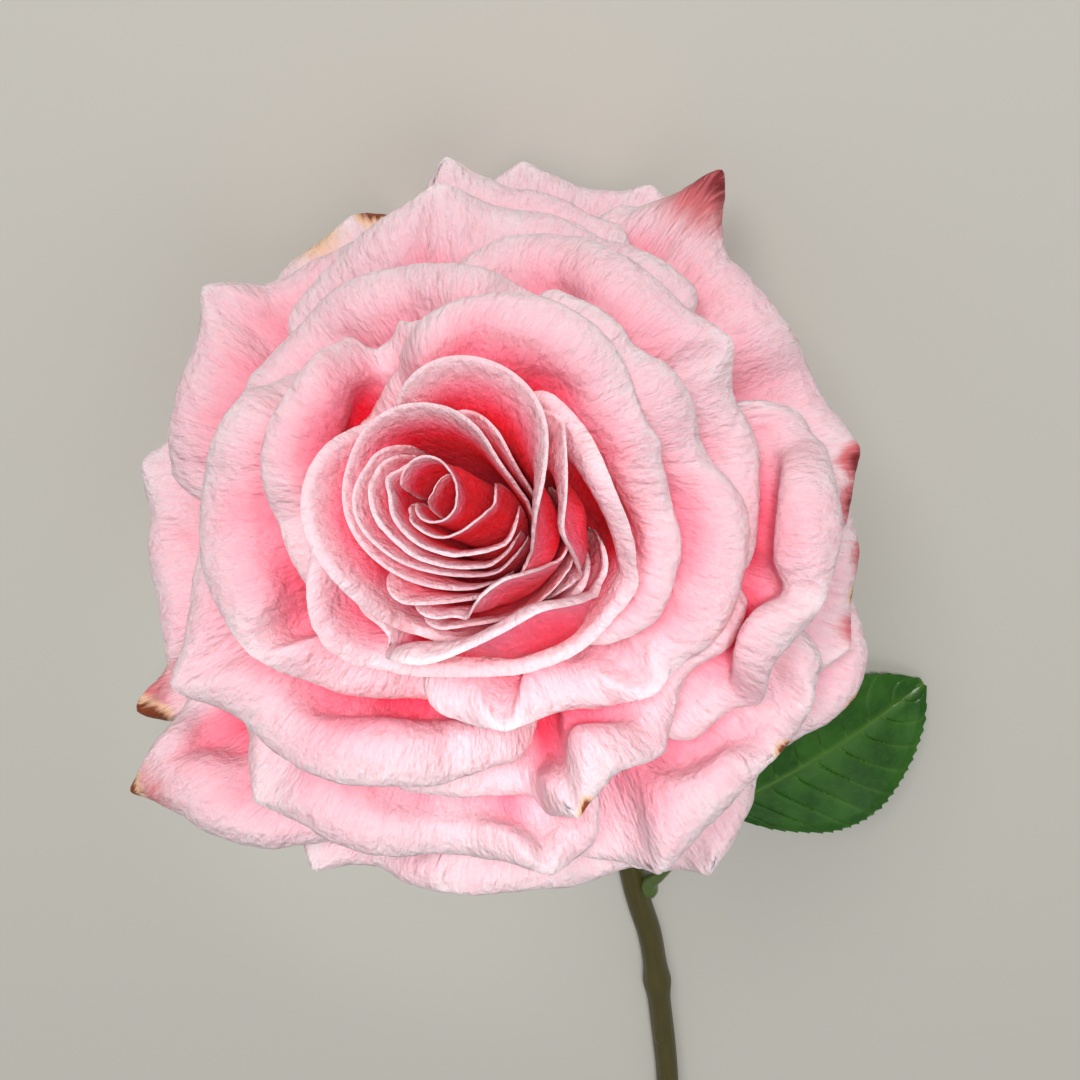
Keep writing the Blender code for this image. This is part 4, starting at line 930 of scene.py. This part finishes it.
class Finish:
    """A material with one Principled shader, and short ways to add nodes to it. A value is
    a node's output, a number, or a colour as three numbers."""

    def __init__(self, name):
        self.material = bpy.data.materials.new(name)
        self.material.use_nodes = True
        self.tree = self.material.node_tree

    def put(self, socket, value):
        if isinstance(value, bpy.types.NodeSocket):
            self.tree.links.new(value, socket)
        else:
            socket.default_value = (*value, 1) if socket.type == "RGBA" else value

    def node(self, kind, inputs, output=0, **settings):
        """The output of a new node with these settings, and inputs by name or number."""
        made = self.tree.nodes.new(kind)
        for name, value in settings.items():
            setattr(made, name, value)
        for name, value in inputs.items():
            self.put(made.inputs[name], value)
        return made.outputs[output]

    def attributes(self, names):
        return [self.node("ShaderNodeAttribute", {}, "Fac", attribute_name=name)
                for name in names.split()]

    def math(self, operation, a, b, clamp=False):
        return self.node("ShaderNodeMath", {0: a, 1: b}, operation=operation, use_clamp=clamp)

    def place(self):
        """The place on the piece, in mm."""
        place = self.node("ShaderNodeTexCoord", {}, "Object")
        return self.node("ShaderNodeVectorMath", {0: place, "Scale": 1 / MM}, operation="SCALE")

    def noise(self, place, scale, detail, roughness):
        return self.node("ShaderNodeTexNoise", {
            "Vector": place, "Scale": scale, "Detail": detail, "Roughness": roughness}, "Fac")

    def noise_over(self, values, scales, detail, roughness):
        """Noise at the place whose coordinates are the values, each times its scale."""
        scaled = [self.math("MULTIPLY", value, scale) for value, scale in zip(values, scales)]
        place = self.node("ShaderNodeCombineXYZ", dict(enumerate(scaled)))
        return self.noise(place, 1, detail, roughness)

    def span(self, value, low, high, out_low=0.0, out_high=1.0):
        """The value carried smoothly from one range to another."""
        numbers = enumerate((value, low, high, out_low, out_high))
        return self.node("ShaderNodeMapRange", dict(numbers), interpolation_type="SMOOTHSTEP")

    def ramp(self, value, stops):
        made = self.tree.nodes.new("ShaderNodeValToRGB")
        elements = made.color_ramp.elements
        while len(elements) < len(stops):
            elements.new(0.5)
        for element, (place, colour) in zip(elements, stops):
            element.position = place
            element.color = (*colour, 1)
        self.put(made.inputs[0], value)
        return made.outputs[0]

    def mix(self, share, a, b):
        inputs = {"Factor": share, "A": a, "B": b}
        return self.node("ShaderNodeMix", inputs, "Result", data_type="RGBA")

    def tint(self, colour, value, span, shade):
        """The colour, turned towards a shade as the value goes over a span."""
        return self.mix(self.span(value, *span), colour, shade)

    def complete(self, colour, roughness, *bumps, **more):
        """The material, once the shader has these inputs and bumps one on another, each as
        (height, its depth in mm, strength)."""
        normal = {}
        for height, depth, strength in bumps:
            bump = {"Height": height, "Distance": depth * MM, "Strength": strength}
            normal = {"Normal": self.node("ShaderNodeBump", bump | normal)}
        inputs = {"Base Color": colour, "Roughness": roughness, **more, **normal}
        for name, value in inputs.items():
            self.put(self.tree.nodes["Principled BSDF"].inputs[name], value)
        return self.material


# Colours are linear light. A noise is (scale, detail, roughness), with one scale for each
# number of the mesh where it runs over those. A span is (from, to, what it gives at each).
BLUSH = (0.80, 0.66, 0.70)
PINK = (0.85, 0.54, 0.61)
ROSE = (0.95, 0.27, 0.37)
DEEP_ROSE = (0.97, 0.07, 0.14)
CRIMSON = (0.97, 0.004, 0.03)
BACK_PINK = (0.89, 0.46, 0.55)
BACK_ROSE = (0.95, 0.17, 0.27)
OUTER_BACK = (0.90, 0.33, 0.42)
PALE_FOOT = (0.88, 0.52, 0.48)
GREEN_FOOT = (0.66, 0.62, 0.30)
PALE_EDGE = (0.92, 0.72, 0.76)
FRONT = ((0.0, BLUSH), (0.25, PINK), (0.52, ROSE), (0.78, DEEP_ROSE), (1.0, CRIMSON))
HEART_BACK = ((0.0, BLUSH), (0.2, BACK_PINK), (0.5, BACK_ROSE), (0.9, CRIMSON))
OUTSIDE_BACK = (
    (0.0, BLUSH), (0.2, BACK_PINK), (0.5, OUTER_BACK), (0.8, PALE_FOOT), (1.0, GREEN_FOOT))
OUTSIDE_SHARE = 0.65  # of the way through its colours that an outer petal's back goes
PETAL_FIBRE = ((1.5, 0.16), 3, 0.6)
PETAL_CLOUD = ((0.09, 0.07, 40.0), 2, 0.5)
PETAL_WRINKLE = ((0.75, 0.4, 9.0), 3, 0.55)
PETAL_GRAIN = (0.85, 2, 0.55)
CLOUD_SHIFT = (0.3, 0.7, -0.07, 0.07)
HEART_SHIFT = 0.17  # how much deeper the heart's petals are in colour
OUTSIDE_SHOWN = (0.0, 0.25, 1.0, 0.0)
FIBRE_SHOWN = (0.35, 0.7, 0.0, 0.16)
EDGE_SHOWN = (0.0, 2.2, 0.35, 0.0)
EDGE_IN_HEART = (0.2, 0.6, 1.0, 0.6)
RAGGED = (0.3, 0.6, 0.8, 1.15)
PETAL_ROUGHNESS = (0.2, 0.8, 0.5, 0.66)
# Marks: the number of the mesh that holds them, then each shade with its span.
MARKS = (
    ("reddened", ((0.05, 0.7), (0.62, 0.16, 0.18)), ((0.6, 1.2), (0.20, 0.022, 0.026))),
    ("dried", ((0.05, 0.5), (0.80, 0.52, 0.36)), ((0.4, 0.8), (0.22, 0.055, 0.02))),
)
PETAL_SHADER = {
    "Specular IOR Level": 0.12,
    "Sheen Weight": 0.03,
    "Sheen Roughness": 0.45,
    "Subsurface Weight": 0.7,
    "Subsurface Radius": (1.0, 0.6, 0.55),
    "Subsurface Scale": 0.5 * MM,
}


def petal_finish():
    finish = Finish("petal_velvet")
    edge, along, depth, under, tone, heart = finish.attributes("edge along depth under tone heart")
    fibre = finish.noise_over((along, edge), *PETAL_FIBRE)
    cloud = finish.noise_over((along, edge, tone), *PETAL_CLOUD)
    wrinkle = finish.noise_over((along, edge, tone), *PETAL_WRINKLE)
    shifted = finish.math("ADD", depth, finish.span(cloud, *CLOUD_SHIFT))
    shifted = finish.math("ADD", shifted, finish.math("MULTIPLY", heart, HEART_SHIFT))
    outside = finish.ramp(finish.math("MULTIPLY", shifted, OUTSIDE_SHARE), OUTSIDE_BACK)
    back = finish.tint(finish.ramp(shifted, HEART_BACK), heart, OUTSIDE_SHOWN, outside)
    colour = finish.mix(under, finish.ramp(shifted, FRONT), back)
    colour = finish.tint(colour, fibre, FIBRE_SHOWN, ROSE)
    pale = finish.math("MULTIPLY", finish.span(edge, *EDGE_SHOWN), finish.span(heart, *EDGE_IN_HEART))
    colour = finish.mix(pale, colour, PALE_EDGE)
    ragged = finish.span(fibre, *RAGGED)
    for mark, *shades in MARKS:
        strength = finish.math("MULTIPLY", *finish.attributes(mark), ragged)
        for span, shade in shades:
            colour = finish.tint(colour, strength, span, shade)
    grain = finish.noise(finish.place(), *PETAL_GRAIN)
    roughness = finish.span(fibre, *PETAL_ROUGHNESS)
    bumps = ((wrinkle, 0.9, 0.8), (fibre, 0.22, 0.8), (grain, 0.3, 0.7))
    return finish.complete(colour, roughness, *bumps, **PETAL_SHADER)


LEAF_CELLS = (0.9, 3, 0.6)
LEAF_CLOUD = (0.12, 2, 0.5)
LEAF_DARK = (0.012, 0.075, 0.004)
LEAF_GREEN = (0.03, 0.13, 0.010)
LEAF_VEIN = (0.10, 0.22, 0.03)
LEAF_BELOW = (0.10, 0.20, 0.07)
LEAF_VEIN_BELOW = (0.22, 0.32, 0.12)
LEAF_CELL = (0.05, 0.16, 0.02)
STALK_GREEN = (0.09, 0.15, 0.03)
LEAF_CLOUDED = (0.35, 0.65)
CELLS_SHOWN = (0.4, 0.7, 0.0, 0.25)
VEIN_SHARE = 0.55
VEIN_SHARE_BELOW = 0.6
LEAF_ROUGHNESS = (0.2, 0.8, 0.28, 0.42)


def leaf_finish():
    finish = Finish("leaf_gloss")
    vein, under, stalk = finish.attributes("vein under stalk")
    place = finish.place()
    cells = finish.noise(place, *LEAF_CELLS)
    cloud = finish.noise(place, *LEAF_CLOUD)
    top = finish.tint(LEAF_DARK, cloud, LEAF_CLOUDED, LEAF_GREEN)
    top = finish.mix(finish.math("MULTIPLY", vein, VEIN_SHARE, clamp=True), top, LEAF_VEIN)
    shown = finish.math("MULTIPLY", vein, VEIN_SHARE_BELOW, clamp=True)
    colour = finish.mix(under, top, finish.mix(shown, LEAF_BELOW, LEAF_VEIN_BELOW))
    colour = finish.tint(colour, cells, CELLS_SHOWN, LEAF_CELL)
    colour = finish.mix(stalk, colour, STALK_GREEN)
    return finish.complete(colour, finish.span(cells, *LEAF_ROUGHNESS), (cells, 0.12, 0.6))


STEM_STREAKS = ((0.12, 2.6), 4, 0.6)
STEM_SPOTS = (1.6, 2, 0.5)
STEM_GREEN = (0.070, 0.062, 0.014)
STEM_BROWN = (0.045, 0.024, 0.010)
STREAK = (0.095, 0.078, 0.022)
SPOT = (0.10, 0.085, 0.04)
HIP_GREEN = (0.09, 0.15, 0.035)
BROWNING = (10.0, 75.0, 1.0, 0.1)  # mm from the neck, and how brown it is there
STREAKS_SHOWN = (0.35, 0.7, 0.0, 0.5)
SPOTS_SHOWN = (0.62, 0.72, 0.0, 0.5)
CUT_SHOWN = (0.0, 0.1)
STEM_ROUGHNESS = (0.2, 0.8, 0.36, 0.58)
CUT_COLOURS = (
    (0.0, (0.05, 0.07, 0.02)), (0.16, (0.20, 0.30, 0.08)), (0.4, (0.42, 0.48, 0.22)),
    (0.6, (0.62, 0.62, 0.42)))


def stem_finish():
    finish = Finish("stem_skin")
    length, turn, cut, hip = finish.attributes("length turn cut hip")
    streaks = finish.noise_over((length, turn), *STEM_STREAKS)
    spots = finish.noise(finish.place(), *STEM_SPOTS)
    colour = finish.tint(STEM_GREEN, length, BROWNING, STEM_BROWN)
    colour = finish.tint(colour, streaks, STREAKS_SHOWN, STREAK)
    colour = finish.tint(colour, spots, SPOTS_SHOWN, SPOT)
    colour = finish.mix(hip, colour, HIP_GREEN)
    colour = finish.tint(colour, cut, CUT_SHOWN, finish.ramp(cut, CUT_COLOURS))
    return finish.complete(colour, finish.span(streaks, *STEM_ROUGHNESS), (streaks, 0.2, 0.7))


SEPAL_FIBRE = ((2.0, 6.0), 3, 0.6)
SEPAL_TOP = (0.22, 0.34, 0.14)
SEPAL_BELOW = (0.11, 0.20, 0.05)
SEPAL_STREAK = (0.26, 0.36, 0.12)
SEPAL_RIM = (0.34, 0.20, 0.10)
STREAK_SHOWN = (0.35, 0.7, 0.0, 0.4)
RIM_SHOWN = (0.0, 0.5, 0.6, 0.0)
SEPAL_ROUGHNESS = (0.2, 0.8, 0.5, 0.7)


def sepal_finish():
    finish = Finish("sepal_skin")
    edge, along, way, under = finish.attributes("edge along way under")
    fibre = finish.noise_over((along, way), *SEPAL_FIBRE)
    colour = finish.mix(under, SEPAL_TOP, SEPAL_BELOW)
    colour = finish.tint(colour, fibre, STREAK_SHOWN, SEPAL_STREAK)
    colour = finish.tint(colour, edge, RIM_SHOWN, SEPAL_RIM)
    return finish.complete(colour, finish.span(fibre, *SEPAL_ROUGHNESS), (fibre, 0.15, 0.7))


# -------------------- the rose

def mesh_centre(piece):
    """Middle of a piece's box, in metres."""
    spots = np.array([vertex.co for vertex in piece.data.vertices])
    return 0.5 * (spots.min(axis=0) + spots.max(axis=0))


def node_centre(node):
    low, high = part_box(node)
    return 0.5 * (np.array(low) + np.array(high))


def keep_above_surface(piece):
    """Flattens the little that a ruffle would sink into the surface the rose lies on."""
    for vertex in piece.data.vertices:
        vertex.co.z = max(vertex.co.z, 0)


def build_rose():
    """All pieces in the rose's own frame, then moved to where the frame's solids are.
    Gives how far they were moved, in metres."""
    petals = [make_petal(number, petal) for number, petal in enumerate(pack_petals(), 1)]
    sepals = [make_sepal(number, *row) for number, row in enumerate(SEPALS, 1)]
    groups = (
        (petals, petal_finish(), "petal_pink"),
        (sepals, sepal_finish(), "sepal_green"),
        ([make_stem()], stem_finish(), "stem_green"),
        ([make_leaf()], leaf_finish(), "leaf_green"),
    )
    offsets = [node_centre(f"petal_{number:02d}") - mesh_centre(piece)
               for number, piece in enumerate(petals, 1)]
    shift = np.median(offsets, axis=0)
    for pieces, finish, slot in groups:
        for piece in pieces:
            piece.data.transform(Matrix.Translation(shift))
            keep_above_surface(piece)
            piece.data.materials.append(finish)
            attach(piece, "root")
            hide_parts(piece.name.removesuffix("_fine"))
    return shift


# -------------------- floor, light and camera

# Lengths are in metres from here on. Lamps are placed from the bloom's middle.
FLOOR_REACH = 3.0
FLOOR_COLOUR = (0.595, 0.59, 0.54)
FLOOR_ROUGHNESS = 0.9
BLOOM_MIDDLE = 0.03  # over the receptacle
# Round lamps: name, place, diameter, watts, colour.
ROUND_LAMPS = (
    ("key", (0.66, -2.1, 1.65), 0.9, 25, (1.0, 0.985, 0.96)),
    ("front", (-0.06, -1.2, 1.44), 0.36, 20, (1.0, 0.985, 0.965)),
    ("fill", (-0.6, 0.3, 2.7), 2.1, 5.4, (1.0, 0.99, 0.98)),
)
HEART_LAMP = (-0.02, -0.40, 0.48)
HEART_TARGET = (0, 0, 0.01)
HEART_SETTINGS = {
    "energy": 10.0, "spot_size": radians(8.5), "spot_blend": 1.0, "shadow_soft_size": 0.03}
WORLD_COLOUR = (1.0, 0.985, 0.96, 1)
WORLD_STRENGTH = 0.2
BOUNCES = 10
CAMERA_FROM_RECEPTACLE = (-0.0039, -0.1993, 0.2490)
CAMERA_RIGHT = Vector((-1, 0, 0))
CAMERA_ELEVATION = 51.1  # degrees
LENS = 73.5  # mm, as the sensor's width
SENSOR_WIDTH = 36
CLIP_START = 0.01


def make_floor():
    corners = [(x * FLOOR_REACH, y * FLOOR_REACH, 0) for x, y in ((-1, -1), (1, -1), (1, 1), (-1, 1))]
    mesh = bpy.data.meshes.new("floor")
    mesh.from_pydata(corners, [], [(0, 1, 2, 3)])
    mesh.materials.append(Finish("floor_paper").complete(FLOOR_COLOUR, FLOOR_ROUGHNESS))
    floor = add_object("floor", mesh)


def add_lamp(name, kind, place, target, settings):
    light = bpy.data.lights.new(name, kind)
    for setting, value in settings.items():
        setattr(light, setting, value)
    lamp = add_object(name, light)
    lamp.location = place
    lamp.rotation_euler = (target - place).to_track_quat("-Z", "Y").to_euler()


def make_lights(bloom):
    for name, place, size, power, colour in ROUND_LAMPS:
        settings = {"shape": "DISK", "size": size, "energy": power, "color": colour}
        add_lamp(name, "AREA", bloom + Vector(place), bloom, settings)
    target = bloom + Vector(HEART_TARGET)
    add_lamp("heart", "SPOT", bloom + Vector(HEART_LAMP), target, HEART_SETTINGS)
    world = bpy.data.worlds.new("studio")
    world.use_nodes = True
    background = world.node_tree.nodes["Background"].inputs
    background["Color"].default_value = WORLD_COLOUR
    background["Strength"].default_value = WORLD_STRENGTH
    scene = bpy.context.scene
    scene.world = world
    scene.view_settings.view_transform = "Standard"
    scene.cycles.diffuse_bounces = BOUNCES


def make_camera(receptacle):
    rise = radians(CAMERA_ELEVATION)
    back = Vector((0, -cos(rise), sin(rise)))
    turned = Matrix((CAMERA_RIGHT, back.cross(CAMERA_RIGHT), back)).transposed()
    camera = add_object("camera", bpy.data.cameras.new("camera"))
    place = Matrix.Translation(receptacle + Vector(CAMERA_FROM_RECEPTACLE))
    camera.matrix_world = place @ turned.to_4x4()
    camera.data.lens = LENS
    camera.data.sensor_width = SENSOR_WIDTH
    camera.data.clip_start = CLIP_START
    bpy.context.scene.camera = camera


receptacle = Vector(build_rose() + RECEPTACLE * MM)
make_floor()
make_lights(receptacle + Vector((0, 0, BLOOM_MIDDLE)))
make_camera(receptacle)
